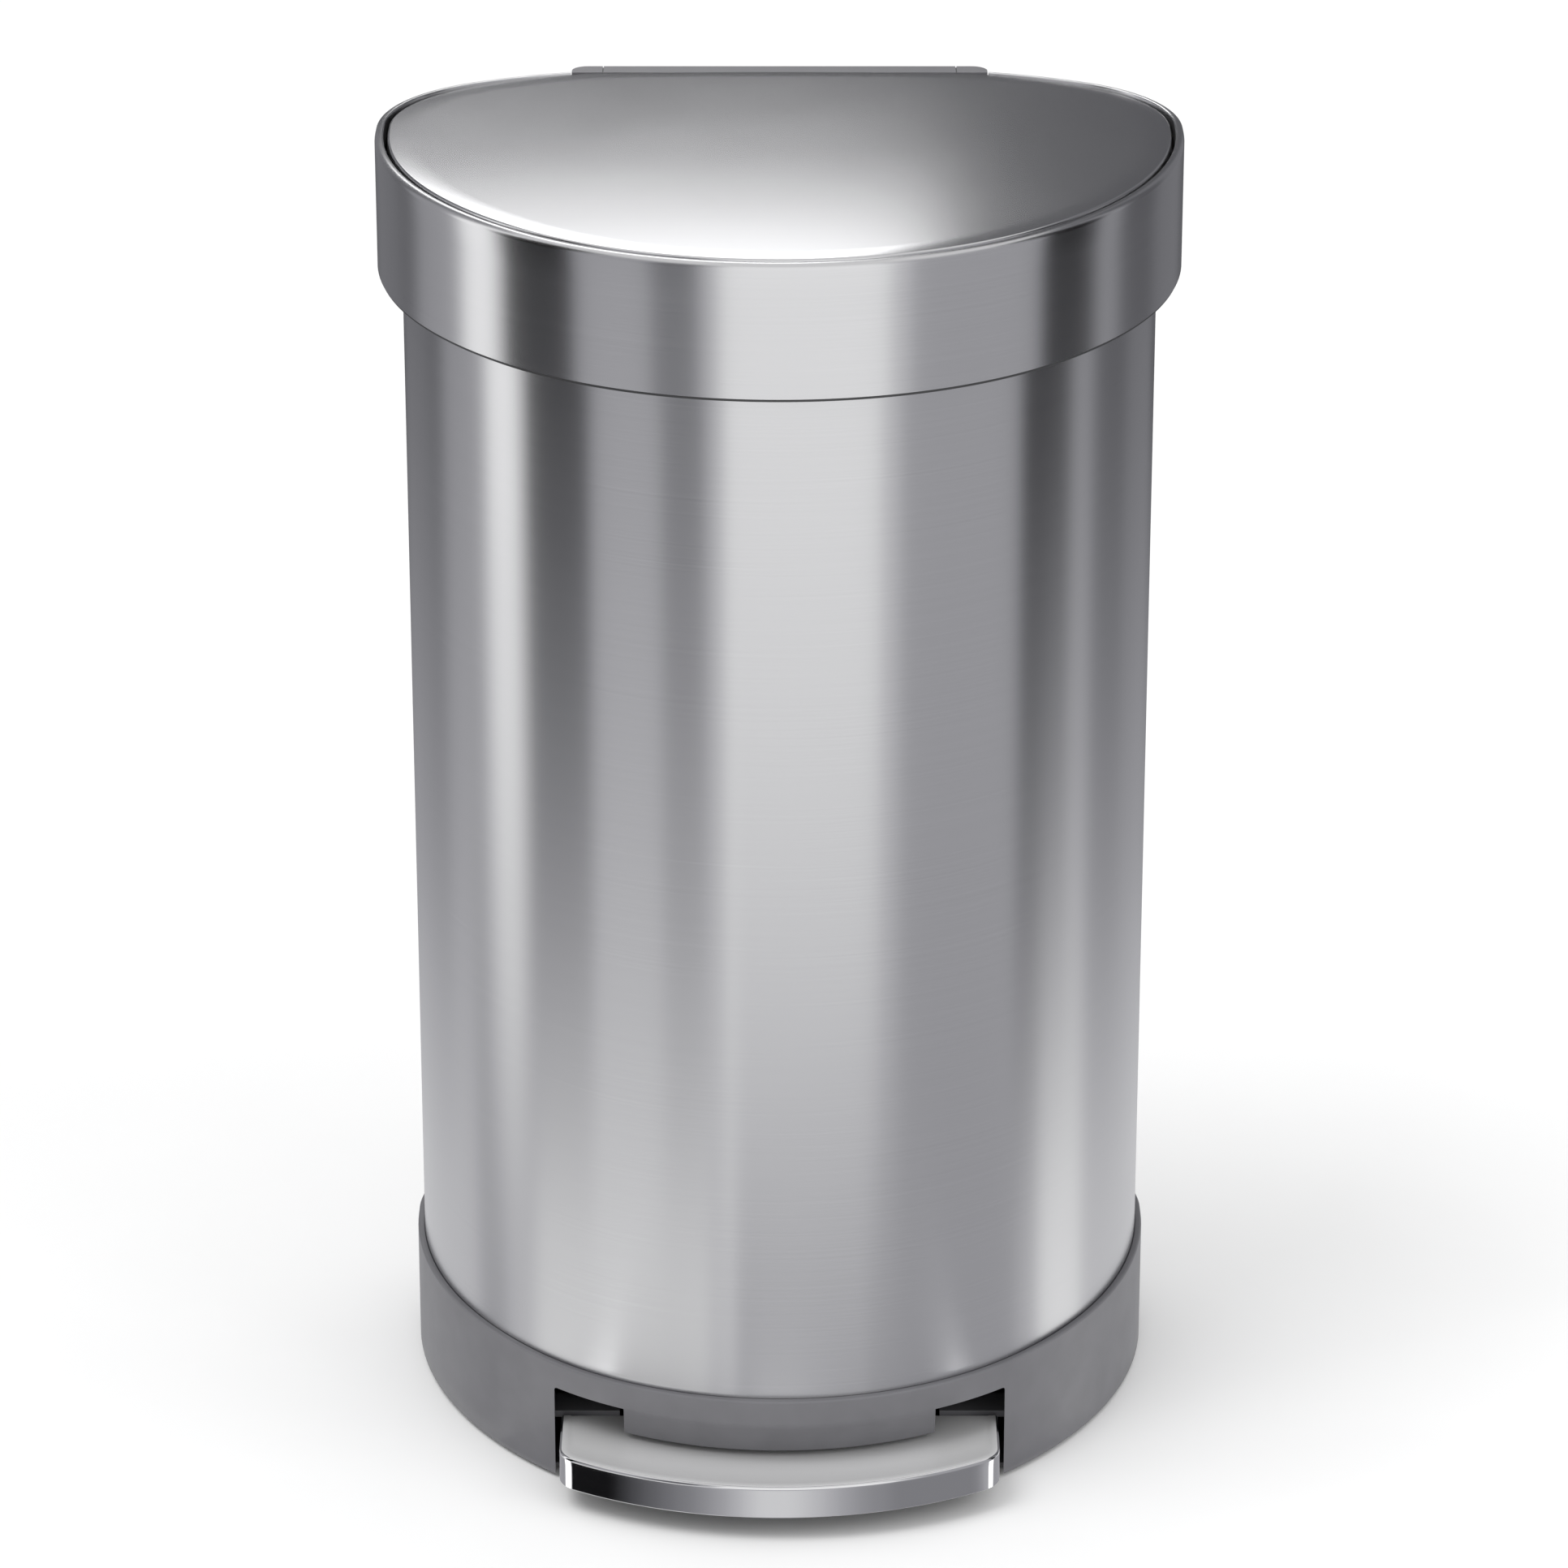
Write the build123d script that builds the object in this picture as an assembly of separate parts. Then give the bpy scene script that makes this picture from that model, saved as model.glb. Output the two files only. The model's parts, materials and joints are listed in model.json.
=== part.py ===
from build123d import *
import math
import os

# Pedal bin with a D-shaped steel shell, a flip-up liner rim and a foot-operated lid.
# Millimetres. X runs across the front, Y from front (-) to back (+), Z up from the floor.
# Every sub-part is drawn from the widest line of the shell and then moved back by PLAN_SHIFT.

# --- heights ---
FOOT_TOP = 2.0
PLATE_T = 2.5
LEDGE_BOTTOM = 57.0
LEDGE_TOP = 59.5
FLOOR_TOP = 62.0
PLINTH_TOP = 64.5
SHELL_TOP = 600.0
COLLAR_TOP = 602.5
BAND_BOTTOM = 585.0
LEDGE_Z = 630.0
RIM_TOP = 650.0
LID_CROWN = 652.6

# --- plan outline of the shell's outside ---
HALF_WIDTH = 184.5
FRONT_R = 168.0
FRONT_TURN = 45.0
SIDE_RUN = 8.0
CORNER_R = 73.0
CORNER_TURN = 62.5
BACK_R = 200.0
PLAN_SHIFT = 63.0

# --- steps of the outline, outward from the shell's outside ---
SHELL_T = 0.8
PLINTH_OUT = 3.5
PLINTH_IN = 1.0
BAND_OUT = 12.0
BAND_IN = 11.0
BAND_LIP_OUT = 8.7
BAND_LIP_IN = 7.7
LID_OUT = 5.8
LID_IN = 4.8
FRAME_IN = 9.0
THROAT_IN = -12.0
THROAT_OUT = -9.5

# --- pedal and its opening ---
OPENING_HALF = 112.0
OPENING_TOP = 51.0
APRON_HALF = 77.0
APRON_BOTTOM = 34.0
SHELF_X = 80.0
SHELF_FRONT = -156.0
SHELF_BACK = -137.0
SHELF_TOP = 30.5
PEDAL_HALF = 109.0
PEDAL_OUT = 27.5
PEDAL_DEPTH = 35.0
PEDAL_TOP = 30.0
PEDAL_BOTTOM = 13.0
PEDAL_T = 1.5
PEDAL_CORNER_R = 15.0
PEDAL_BACK = -160.0
ARM_X = (60.0, 69.0)
BRACKET_X = (40.0, 43.0)
BRACKET_R = 9.0
AXLE_Y = -150.0
AXLE_Z = 22.0
AXLE_R = 4.0
RUNNING = 0.05
LEVER_HALF = 12.0
LEVER_T = 4.0
LEVER_FRONT = -216.0
BUSH_R = 5.5

# --- push rod, damper and hinges ---
ROD_Y = 82.0
ROD_R = 3.0
NOSE_R = 8.0
NOSE_GAP = 0.65
LID_PIN_Y = 102.0
LID_PIN_Z = 645.0
LID_PIN_R = 1.5
CRANK_R = 22.33
CRANK_DROP = 50.0
CAM_R = 4.0
CAM_ROOT = (95.5, 642.0)
CAM_ROOT_R = 2.0
CAM_GAP = 1.7
HEAD_FRONT = 76.0
HEAD_BACK = 87.5
RIM_PIN_Y = 101.0
RIM_PIN_Z = 600.0
RIM_PIN_R = 2.0
KNUCKLE_R = 4.5
HINGE_HALF = 104.0
HINGE_BACK = 109.0
LID_BACK = 97.0
CAP_SEAM_X = 88.2
CAP_GAP = 0.5
CAP_ROUND = 8.0
TONGUE_FRONT = 84.0
TONGUE_LOW = 642.0
TONGUE_HIGH = 645.5
EAR_X = (60.0, 70.0)
FIXED_KNUCKLE_X = (34.0, 52.0)
MOVING_KNUCKLE_X = (14.0, 33.5)
CROWN_R = 6000.0
COVER_FRONT = 64.0
COVER_HALF = 38.0
COVER_T = 2.0
DAMPER_X = 22.0
DAMPER_Y = 80.0
DAMPER_R = 9.0
DAMPER_BORE = 7.0
DAMPER_ROD_R = 2.5
DAMPER_LOW = 300.0
DAMPER_HIGH = 417.0
CLAMP_LOW = 450.0
CLAMP_HIGH = 456.0
GUIDE_HEIGHTS = (96.0, 560.0)

# --- screws, rivets and feet ---
SCREW_R = 1.5
SCREW_HEAD_R = 3.0
BASE_SCREW_R = 1.6
BASE_HEAD_R = 4.0
SCREW_SPOTS = [(140.0, -70.0), (-140.0, -70.0), (120.0, 58.0), (-120.0, 58.0)]
FOOT_SPOTS = [(125.0, -95.0), (-125.0, -95.0), (100.0, 70.0), (-100.0, 70.0)]
FOOT_R = 9.0
RIVET_X = (18.0, 48.0)
RIVET_Z = 582.0
LEAF_SCREWS = [(26.0, 620.0), (-26.0, 620.0)]
LEAF_SCREW_R = 1.3
LID_SCREW_X = (25.0, 78.0)
LID_SCREW_Y = 88.0
PEDAL_SCREW_X = (-7.0, 7.0)
PEDAL_SCREW_Y = -208.0

# --- places worked out from the values above ---
TURN = math.radians(FRONT_TURN)
FLANK_R = (HALF_WIDTH - FRONT_R * math.cos(TURN)) / (1 - math.cos(TURN))
FRONT_CY = -(FLANK_R - FRONT_R) * math.sin(TURN)
CORNER_CX = HALF_WIDTH - CORNER_R
CORNER = math.radians(CORNER_TURN)
BACK_CX = CORNER_CX + (CORNER_R - BACK_R) * math.cos(CORNER)
BACK_CY = SIDE_RUN + (CORNER_R - BACK_R) * math.sin(CORNER)
BACK_Y = BACK_CY + BACK_R
NOSE_Z = AXLE_Z + LEVER_T / 2 + NOSE_R + NOSE_GAP
CAM_Y = LID_PIN_Y - CRANK_R * math.cos(math.radians(CRANK_DROP))
CAM_Z = LID_PIN_Z - CRANK_R * math.sin(math.radians(CRANK_DROP))
HEAD_TOP = CAM_Z - CAM_R - CAM_GAP
WIDE = 600.0


def plan(grow):
    """Closed D-shaped face, grown outward from the shell's outside by grow."""
    half = HALF_WIDTH + grow
    flat_y = BACK_Y + grow
    front = Plane((0, FRONT_CY, 0))
    runs = [Edge.make_circle(FRONT_R + grow, front, 270 - FRONT_TURN, 270 + FRONT_TURN)]
    for side in (1, -1):
        flank = Edge.make_circle(FLANK_R + grow, Plane((HALF_WIDTH - FLANK_R, 0, 0)), -FRONT_TURN, 0)
        straight = Edge.make_line((half, 0), (half, SIDE_RUN))
        corner = Edge.make_circle(CORNER_R + grow, Plane((CORNER_CX, SIDE_RUN, 0)), 0, CORNER_TURN)
        back = Edge.make_circle(BACK_R + grow, Plane((BACK_CX, BACK_CY, 0)), CORNER_TURN, 90)
        for edge in (flank, straight, corner, back):
            runs.append(edge if side == 1 else edge.mirror(Plane.YZ))
    runs.append(Edge.make_line((BACK_CX, flat_y), (-BACK_CX, flat_y)))
    return Face(Wire.combine(runs)[0])


def slab(grow, low, high):
    """Solid of the plan outline between two heights."""
    return Pos(0, 0, low) * extrude(plan(grow), amount=high - low, dir=(0, 0, 1))


def ring(outer, inner, low, high):
    """Wall between two outlines and two heights."""
    return slab(outer, low, high) - slab(inner, low - 1, high + 1)


def block(x0, x1, y0, y1, z0, z1):
    """Box given by its corners."""
    centre = Pos((x0 + x1) / 2, (y0 + y1) / 2, (z0 + z1) / 2)
    return centre * Box(x1 - x0, y1 - y0, z1 - z0)


def both(shape):
    """A shape and its copy on the other side of the middle."""
    return [shape, mirror(shape, about=Plane.YZ)]


def bar_x(radius, x0, x1, y, z):
    """Round bar that lies across the bin."""
    return Pos((x0 + x1) / 2, y, z) * Rot(0, 90, 0) * Cylinder(radius, x1 - x0)


def bar_y(radius, y0, y1, x, z):
    """Round bar that runs from front to back."""
    return Pos(x, (y0 + y1) / 2, z) * Rot(90, 0, 0) * Cylinder(radius, y1 - y0)


def post(radius, x, y, z0, z1):
    """Upright round bar."""
    return Pos(x, y, (z0 + z1) / 2) * Cylinder(radius, z1 - z0)


def front_disc(radius, low, high):
    """Upright disc around the centre of the front curve."""
    return post(radius, 0, FRONT_CY, low, high)


# ---------------------------------------------------------------- can
def body_shell():
    """D-shaped sheet-steel shell."""
    shell = ring(0, -SHELL_T, LEDGE_TOP, SHELL_TOP)
    for x in RIVET_X:
        for hole in both(bar_y(1.5, BACK_Y - 5, BACK_Y + 5, x, RIVET_Z)):
            shell -= hole
    return shell


def apron():
    """Sloping panel over the middle of the pedal."""
    low, high = Pos(0, 0, APRON_BOTTOM), Pos(0, 0, OPENING_TOP)
    outer = loft([low * plan(-4), high * plan(PLINTH_OUT)], ruled=True)
    inner = loft([low * plan(-6.5), high * plan(PLINTH_IN)], ruled=True)
    reach = block(-APRON_HALF, APRON_HALF, -WIDE, -100, APRON_BOTTOM, OPENING_TOP)
    return (outer - inner) & reach


def base_plinth():
    """Plastic base ring with the pedal opening, a ledge for the shell and screw bosses."""
    outer = slab(PLINTH_OUT, FOOT_TOP, PLINTH_TOP)
    outer = fillet(outer.faces().sort_by(Axis.Z)[-1].edges(), 1.2)
    plinth = outer - slab(PLINTH_IN, FOOT_TOP - 1, LEDGE_BOTTOM) - slab(0.1, LEDGE_TOP, PLINTH_TOP + 1)
    plinth -= slab(-12, LEDGE_BOTTOM - 1, LEDGE_TOP + 1)
    opening = block(-OPENING_HALF, OPENING_HALF, -WIDE, -100, -5, OPENING_TOP)
    opening = fillet(opening.edges().filter_by(Axis.Y).group_by(Axis.Z)[-1], 5)
    plinth = plinth - opening + apron()
    for x, y in SCREW_SPOTS:
        boss = post(6, x, y, FOOT_TOP + PLATE_T, LEDGE_TOP)
        boss += block(min(x, x * 1.25), max(x, x * 1.25), y - 2, y + 2, 20, LEDGE_TOP)
        plinth += boss & slab(2, 0, LEDGE_TOP)
        plinth -= post(BASE_SCREW_R, x, y, 0, 20)
    shelf = block(SHELF_X, 125, SHELF_FRONT, SHELF_BACK, SHELF_TOP - 3.5, SHELF_TOP)
    for side in both(shelf & slab(PLINTH_IN + 1, 0, LEDGE_TOP)):
        plinth += side
    return plinth - block(-10, 10, ROD_Y - 11, ROD_Y + 11, LEDGE_BOTTOM - 1, LEDGE_TOP + 1)


def floor_pan():
    """Inner floor that rests on the ledge of the plinth."""
    pan = slab(-1, LEDGE_TOP, FLOOR_TOP)
    return pan - block(-10, 10, ROD_Y - 11, ROD_Y + 11, LEDGE_TOP - 1, FLOOR_TOP + 1)


def bottom_plate():
    """Closing plate under the plinth, behind the pedal."""
    plate = slab(PLINTH_IN, FOOT_TOP, FOOT_TOP + PLATE_T)
    plate -= block(-WIDE, WIDE, -WIDE, AXLE_Y - 12, -5, 10)
    for x, y in SCREW_SPOTS:
        plate -= post(BASE_SCREW_R, x, y, 0, 10) + post(BASE_HEAD_R, x, y, 0, FOOT_TOP + 1.5)
    return plate


def base_screws():
    """Four screws that hold the bottom plate."""
    screws = []
    for x, y in SCREW_SPOTS:
        head = post(BASE_HEAD_R, x, y, FOOT_TOP, FOOT_TOP + 1.5)
        head -= post(1.2, x, y, FOOT_TOP - 1, FOOT_TOP + 0.8)
        screws.append(head + post(BASE_SCREW_R, x, y, FOOT_TOP + 1.5, 16))
    return screws


def rubber_feet():
    """Four round feet under the bottom plate."""
    return [post(FOOT_R, x, y, 0, FOOT_TOP) for x, y in FOOT_SPOTS]


def pivot_brackets():
    """Two upright ears that carry the pedal axle."""
    base = FOOT_TOP + PLATE_T
    x0, x1 = BRACKET_X
    front, back = AXLE_Y - BRACKET_R, AXLE_Y + BRACKET_R
    ear = block(x0, x1, front, back, base, AXLE_Z) + bar_x(BRACKET_R, x0, x1, AXLE_Y, AXLE_Z)
    ear += block(x0 - 12, x1, front, back, base, base + 2.5)
    ear -= bar_x(AXLE_R, x0 - 10, x1 + 7, AXLE_Y, AXLE_Z)
    return both(ear)


def pedal_axle():
    """Steel axle of the pedal, fixed in the brackets."""
    return bar_x(AXLE_R, -74, 74, AXLE_Y, AXLE_Z)


def axle_clips():
    """Retaining rings at the ends of the axle."""
    clip = bar_x(7, 71, 72.5, AXLE_Y, AXLE_Z) - bar_x(AXLE_R, 70, 74, AXLE_Y, AXLE_Z)
    return both(clip)


def liner_collar():
    """Plastic trim over the raw top edge of the shell."""
    return ring(-SHELL_T, -5, SHELL_TOP - 12, SHELL_TOP) + ring(0.6, -8, SHELL_TOP, COLLAR_TOP)


def rod_cover():
    """Channel inside the back of the shell that hides the push rod."""
    back = BACK_Y - SHELL_T
    low, high = FLOOR_TOP, SHELL_TOP - 13
    inside = COVER_HALF - COVER_T
    channel = block(-COVER_HALF, COVER_HALF, COVER_FRONT, back, low, high)
    channel -= block(-inside, inside, COVER_FRONT + COVER_T, back + 1, low - 1, high + 1)
    for flange in both(block(COVER_HALF - 1, COVER_HALF + 6, back - COVER_T, back, low, high)):
        channel += flange
    return channel


def rod_guide(low):
    """Block with a bore that keeps the push rod upright."""
    guide = block(-10, 10, COVER_FRONT + COVER_T, BACK_Y - SHELL_T, low, low + 12)
    return guide - post(ROD_R + RUNNING, 0, ROD_Y, low - 1, low + 13)


def damper_cylinder():
    """Oil damper that slows the falling lid."""
    tube = post(DAMPER_R, DAMPER_X, DAMPER_Y, DAMPER_LOW, DAMPER_HIGH)
    return tube - post(DAMPER_BORE, DAMPER_X, DAMPER_Y, DAMPER_LOW + 3, DAMPER_HIGH + 1)


def damper_cap():
    """Cap of the damper, with the bore for its rod."""
    cap = post(DAMPER_R, DAMPER_X, DAMPER_Y, DAMPER_HIGH, DAMPER_HIGH + 4)
    return cap - post(DAMPER_ROD_R + 0.1, DAMPER_X, DAMPER_Y, DAMPER_HIGH - 1, DAMPER_HIGH + 5)


def damper_bracket():
    """Saddle between the damper and the back of the shell."""
    low, high = DAMPER_LOW + 40, DAMPER_LOW + 70
    saddle = block(DAMPER_X - DAMPER_R, DAMPER_X + DAMPER_R, DAMPER_Y, BACK_Y - SHELL_T, low, high)
    return saddle - post(DAMPER_R, DAMPER_X, DAMPER_Y, low - 1, high + 1)


def rim_hinge_fixed_leaf():
    """Lower hinge leaf on the back of the shell, with two knuckles."""
    leaf = block(-52, 52, BACK_Y, BACK_Y + 1.5, RIVET_Z - 8, RIM_PIN_Z - 4)
    x0, x1 = FIXED_KNUCKLE_X
    for side in both(bar_x(KNUCKLE_R, x0, x1, RIM_PIN_Y, RIM_PIN_Z)):
        leaf += side
    for side in both(block(x0, x1, BACK_Y + 0.6, RIM_PIN_Y, RIM_PIN_Z - 4.4, RIM_PIN_Z - 2)):
        leaf += side
    leaf -= bar_x(RIM_PIN_R, -60, 60, RIM_PIN_Y, RIM_PIN_Z)
    for x in RIVET_X:
        for hole in both(bar_y(1.5, BACK_Y - 1, BACK_Y + 3, x, RIVET_Z)):
            leaf -= hole
    return leaf


def rim_hinge_pin():
    """Pin of the liner rim's hinge, fixed in the lower leaf."""
    return bar_x(RIM_PIN_R, -53, 53, RIM_PIN_Y, RIM_PIN_Z)


def hinge_rivets():
    """Rivets through the lower leaf and the shell."""
    rivets = []
    for x in RIVET_X:
        rivet = bar_y(1.5, BACK_Y - SHELL_T, BACK_Y + 2, x, RIVET_Z)
        rivet += bar_y(3, BACK_Y + 1.5, BACK_Y + 2.8, x, RIVET_Z)
        rivet += bar_y(2.6, BACK_Y - SHELL_T - 1.2, BACK_Y - SHELL_T, x, RIVET_Z)
        rivets += both(rivet)
    return rivets


# ---------------------------------------------------------------- liner rim
def rim_band():
    """Steel band of the rim, turned in at the top, open at the back for the hinge."""
    outer = slab(BAND_OUT, BAND_BOTTOM, RIM_TOP)
    outer = fillet(outer.faces().sort_by(Axis.Z)[-1].edges(), 3.0)
    hollow = slab(BAND_IN, BAND_BOTTOM - 1, RIM_TOP - 1.2)
    hollow = fillet(hollow.faces().sort_by(Axis.Z)[-1].edges(), 2.0)
    band = outer - hollow - slab(BAND_LIP_IN, BAND_BOTTOM, RIM_TOP + 1)
    band += ring(BAND_LIP_OUT, BAND_LIP_IN, RIM_TOP - 9, RIM_TOP - 0.6)
    band -= block(-HINGE_HALF - 0.5, HINGE_HALF + 0.5, 90, WIDE, 0, RIM_TOP + 5)
    return band - block(-125, 125, 50, WIDE, 0, RIM_PIN_Z + 7)


def rim_frame():
    """Plastic frame in the band: ledge for the lid, throat for the liner and hinge ears."""
    frame = ring(BAND_IN, FRAME_IN, RIM_PIN_Z + 6, RIM_TOP - 4)
    frame += ring(BAND_IN, THROAT_IN, LEDGE_Z, LEDGE_Z + 3)
    frame += ring(THROAT_OUT, THROAT_IN, RIM_PIN_Z - 8, LEDGE_Z + 1)
    frame -= block(-HINGE_HALF - 0.5, HINGE_HALF + 0.5, 88, WIDE, LID_PIN_Z - 7.5, RIM_TOP + 5)
    back_in = BACK_Y + BAND_IN - 1
    frame += block(-HINGE_HALF, HINGE_HALF, back_in, HINGE_BACK, RIM_PIN_Z + 7, LID_PIN_Z - 7.5)
    for ear in both(block(EAR_X[0], EAR_X[1], LID_PIN_Y - 3, LID_PIN_Y + 3, LEDGE_Z + 1, LID_PIN_Z)):
        frame += ear
    for ear in both(bar_x(3, EAR_X[0], EAR_X[1], LID_PIN_Y, LID_PIN_Z)):
        frame += ear
    frame -= bar_x(LID_PIN_R, -80, 80, LID_PIN_Y, LID_PIN_Z)
    frame -= block(-14, 14, 50, RIM_PIN_Y, RIM_PIN_Z - 20, RIM_TOP)
    for x, z in LEAF_SCREWS:
        frame -= bar_y(LEAF_SCREW_R, RIM_PIN_Y, RIM_PIN_Y + 6, x, z)
    return frame


def rim_hinge_moving_leaf():
    """Upper hinge leaf on the rim's frame, with two knuckles."""
    face = BACK_Y + FRAME_IN
    x0, x1 = MOVING_KNUCKLE_X
    leaf = block(-x1, x1, face - 2, face, RIM_PIN_Z + 6, RIM_PIN_Z + 27)
    for side in both(bar_x(KNUCKLE_R, x0, x1, RIM_PIN_Y, RIM_PIN_Z)):
        leaf += side
    for side in both(block(x0, x1, RIM_PIN_Y, face, RIM_PIN_Z + 1, RIM_PIN_Z + 8)):
        leaf += side
    leaf -= bar_x(RIM_PIN_R + RUNNING, -60, 60, RIM_PIN_Y, RIM_PIN_Z)
    for x, z in LEAF_SCREWS:
        leaf -= bar_y(LEAF_SCREW_R, face - 5, face + 1, x, z)
    return leaf


def leaf_screws():
    """Screws that hold the upper leaf to the rim's frame."""
    face = BACK_Y + FRAME_IN
    screws = []
    for x, z in LEAF_SCREWS:
        shank = bar_y(LEAF_SCREW_R, face - 2, face + 1.8, x, z)
        screws.append(shank + bar_y(SCREW_HEAD_R, face - 3.6, face - 2, x, z))
    return screws


def lid_hinge_pin():
    """Pin of the lid, fixed in the frame's ears."""
    return bar_x(LID_PIN_R, -80, 80, LID_PIN_Y, LID_PIN_Z)


def lid_bumpers():
    """Soft dots on the ledge that the lid closes onto."""
    spots = []
    for angle in (-150, -120, -60, -30):
        reach = FRONT_R + 3
        x = reach * math.cos(math.radians(angle))
        y = FRONT_CY + reach * math.sin(math.radians(angle))
        spots.append(post(3.5, x, y, LEDGE_Z + 3, LEDGE_Z + 5.6))
    return spots


# ---------------------------------------------------------------- lid
def lid_outline(grow, low, high):
    """Solid of the lid's outline, cut straight at the hinge."""
    return slab(grow, low, high) - block(-WIDE, WIDE, LID_BACK, WIDE, low - 1, high + 1)


def crown(drop):
    """Large ball whose top is the lid's crown, lowered by drop."""
    return Pos(0, -55, LID_CROWN - drop - CROWN_R) * Sphere(CROWN_R)


def lid_skin():
    """Crowned steel lid with a turned-down edge."""
    solid = lid_outline(LID_OUT, RIM_TOP - 10, RIM_TOP + 8) & crown(0)
    hollow = lid_outline(LID_IN, RIM_TOP - 11, RIM_TOP + 8) & crown(1.0)
    skin = solid - hollow
    skin -= block(-WIDE, WIDE, TONGUE_FRONT, WIDE, RIM_TOP - 12, RIM_TOP - 3)
    return skin - block(-90, 90, TONGUE_FRONT, WIDE, RIM_TOP - 12, RIM_TOP - 1.6)


def lid_inner_pan():
    """Plastic underside of the lid, with a stiffening skirt and ribs."""
    low, high = LEDGE_Z + 6, RIM_TOP - 2
    pan = slab(LID_IN, low, high) - slab(LID_IN - 2, low - 1, high - 2.5)
    for x in range(-135, 136, 45):
        pan += block(x - 1, x + 1, -WIDE, 70, low + 4, high - 1) & slab(LID_IN - 1, low, high)
    pan -= block(-WIDE, WIDE, 82, WIDE, low - 1, high - 2.5)
    pan -= block(-WIDE, WIDE, 94, WIDE, low - 1, high + 1)
    pan -= block(-9, 9, 74, WIDE, low - 1, high - 2.5)
    for x in LID_SCREW_X:
        for hole in both(post(SCREW_R, x, LID_SCREW_Y, low, high + 1)):
            pan -= hole
    return pan


def hinge_core(half):
    """Rounded bar of the lid hinge with its tongue, before the notches are cut."""
    bar = block(-half, half, LID_BACK + 0.5, HINGE_BACK, LID_PIN_Z, RIM_TOP)
    bar += bar_x(HINGE_BACK - LID_PIN_Y, -half, half, LID_PIN_Y, LID_PIN_Z)
    bar -= block(-half - 1, half + 1, 0, LID_BACK + 0.5, LID_PIN_Z - 20, LID_PIN_Z + 20)
    return bar - block(-half - 1, half + 1, 0, WIDE, RIM_TOP, RIM_TOP + 10)


def hinge_cover():
    """Straight plastic cover behind the lid; it turns with the lid on the hinge pin."""
    cover = hinge_core(CAP_SEAM_X)
    cover += block(-CAP_SEAM_X, CAP_SEAM_X, TONGUE_FRONT, LID_BACK + 2, TONGUE_LOW, TONGUE_HIGH)
    cover -= bar_x(LID_PIN_R + RUNNING, -81, 81, LID_PIN_Y, LID_PIN_Z)
    for notch in both(block(EAR_X[0] - 0.6, EAR_X[1] + 0.6, 90, WIDE, 600, LID_PIN_Z + 3.4)):
        cover -= notch
    for x in LID_SCREW_X:
        for hole in both(post(SCREW_R, x, LID_SCREW_Y, TONGUE_LOW - 5, RIM_TOP)):
            cover -= hole
    return cover


def hinge_end_caps():
    """Caps at the two ends of the hinge cover."""
    rounded = block(-HINGE_HALF, HINGE_HALF, 0, HINGE_BACK, 600, 700)
    rounded = fillet(rounded.edges().filter_by(Axis.Z).group_by(Axis.Y)[-1], CAP_ROUND)
    cap = (hinge_core(HINGE_HALF) & rounded) - block(-WIDE, CAP_SEAM_X + CAP_GAP, 0, WIDE, 600, 700)
    cap += bar_x(3, CAP_SEAM_X, CAP_SEAM_X + CAP_GAP + 0.3, LID_PIN_Y, LID_PIN_Z)
    return both(cap)


def lid_cam():
    """Arm under the hinge cover that the push rod lifts."""
    with BuildSketch(Plane.YZ.offset(-5)) as outline:
        with Locations((CAM_Y, CAM_Z)):
            Circle(CAM_R)
        with Locations(CAM_ROOT):
            Circle(CAM_ROOT_R)
        make_hull()
    arm = extrude(outline.sketch, amount=10)
    return arm - block(-10, 10, 0, WIDE, TONGUE_LOW, 700) - hinge_core(20)


def lid_screws():
    """Screws that join the hinge cover to the lid's underside."""
    screws = []
    for x in LID_SCREW_X:
        screw = post(SCREW_R, x, LID_SCREW_Y, TONGUE_LOW - 1, RIM_TOP - 2.5)
        screw += post(SCREW_HEAD_R, x, LID_SCREW_Y, TONGUE_LOW - 2, TONGUE_LOW)
        screws += both(screw)
    return screws


# ---------------------------------------------------------------- pedal
def bow(reach_out, reach_in, half, low, high, corner):
    """Bow-shaped plate that follows the front of the plinth."""
    out_r = FRONT_R + reach_out
    in_r = FRONT_R + reach_in
    plate = front_disc(out_r, low, high) - front_disc(in_r, low - 1, high + 1)
    plate = plate & block(-half, half, -WIDE, FRONT_CY - 60, low, high)
    ends = plate.edges().filter_by(Axis.Z).group_by(Axis.Y)[0]
    return fillet(ends, corner)


def pedal_cover():
    """Bow-shaped steel pedal with a turned-down front and a flat tread that runs back into the base."""
    cover = bow(PEDAL_OUT, PEDAL_OUT - PEDAL_DEPTH, PEDAL_HALF, PEDAL_BOTTOM, PEDAL_TOP, PEDAL_CORNER_R)
    cover = fillet(cover.faces().sort_by(Axis.Z)[-1].edges().sort_by(Axis.Y)[:3], 1.2)
    inside = bow(PEDAL_OUT - PEDAL_T, PEDAL_OUT - PEDAL_DEPTH - 5, PEDAL_HALF - PEDAL_T,
                 PEDAL_BOTTOM - 1, PEDAL_TOP - PEDAL_T, PEDAL_CORNER_R - PEDAL_T)
    tread = front_disc(FRONT_R + PEDAL_OUT - PEDAL_DEPTH + 10, PEDAL_TOP - PEDAL_T, PEDAL_TOP)
    tread &= block(-PEDAL_HALF, PEDAL_HALF, -WIDE, PEDAL_BACK, PEDAL_TOP - PEDAL_T, PEDAL_TOP)
    rear = block(-WIDE, WIDE, PEDAL_BACK, WIDE, 0, PEDAL_TOP + 1)
    return cover - inside + tread - rear


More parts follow.
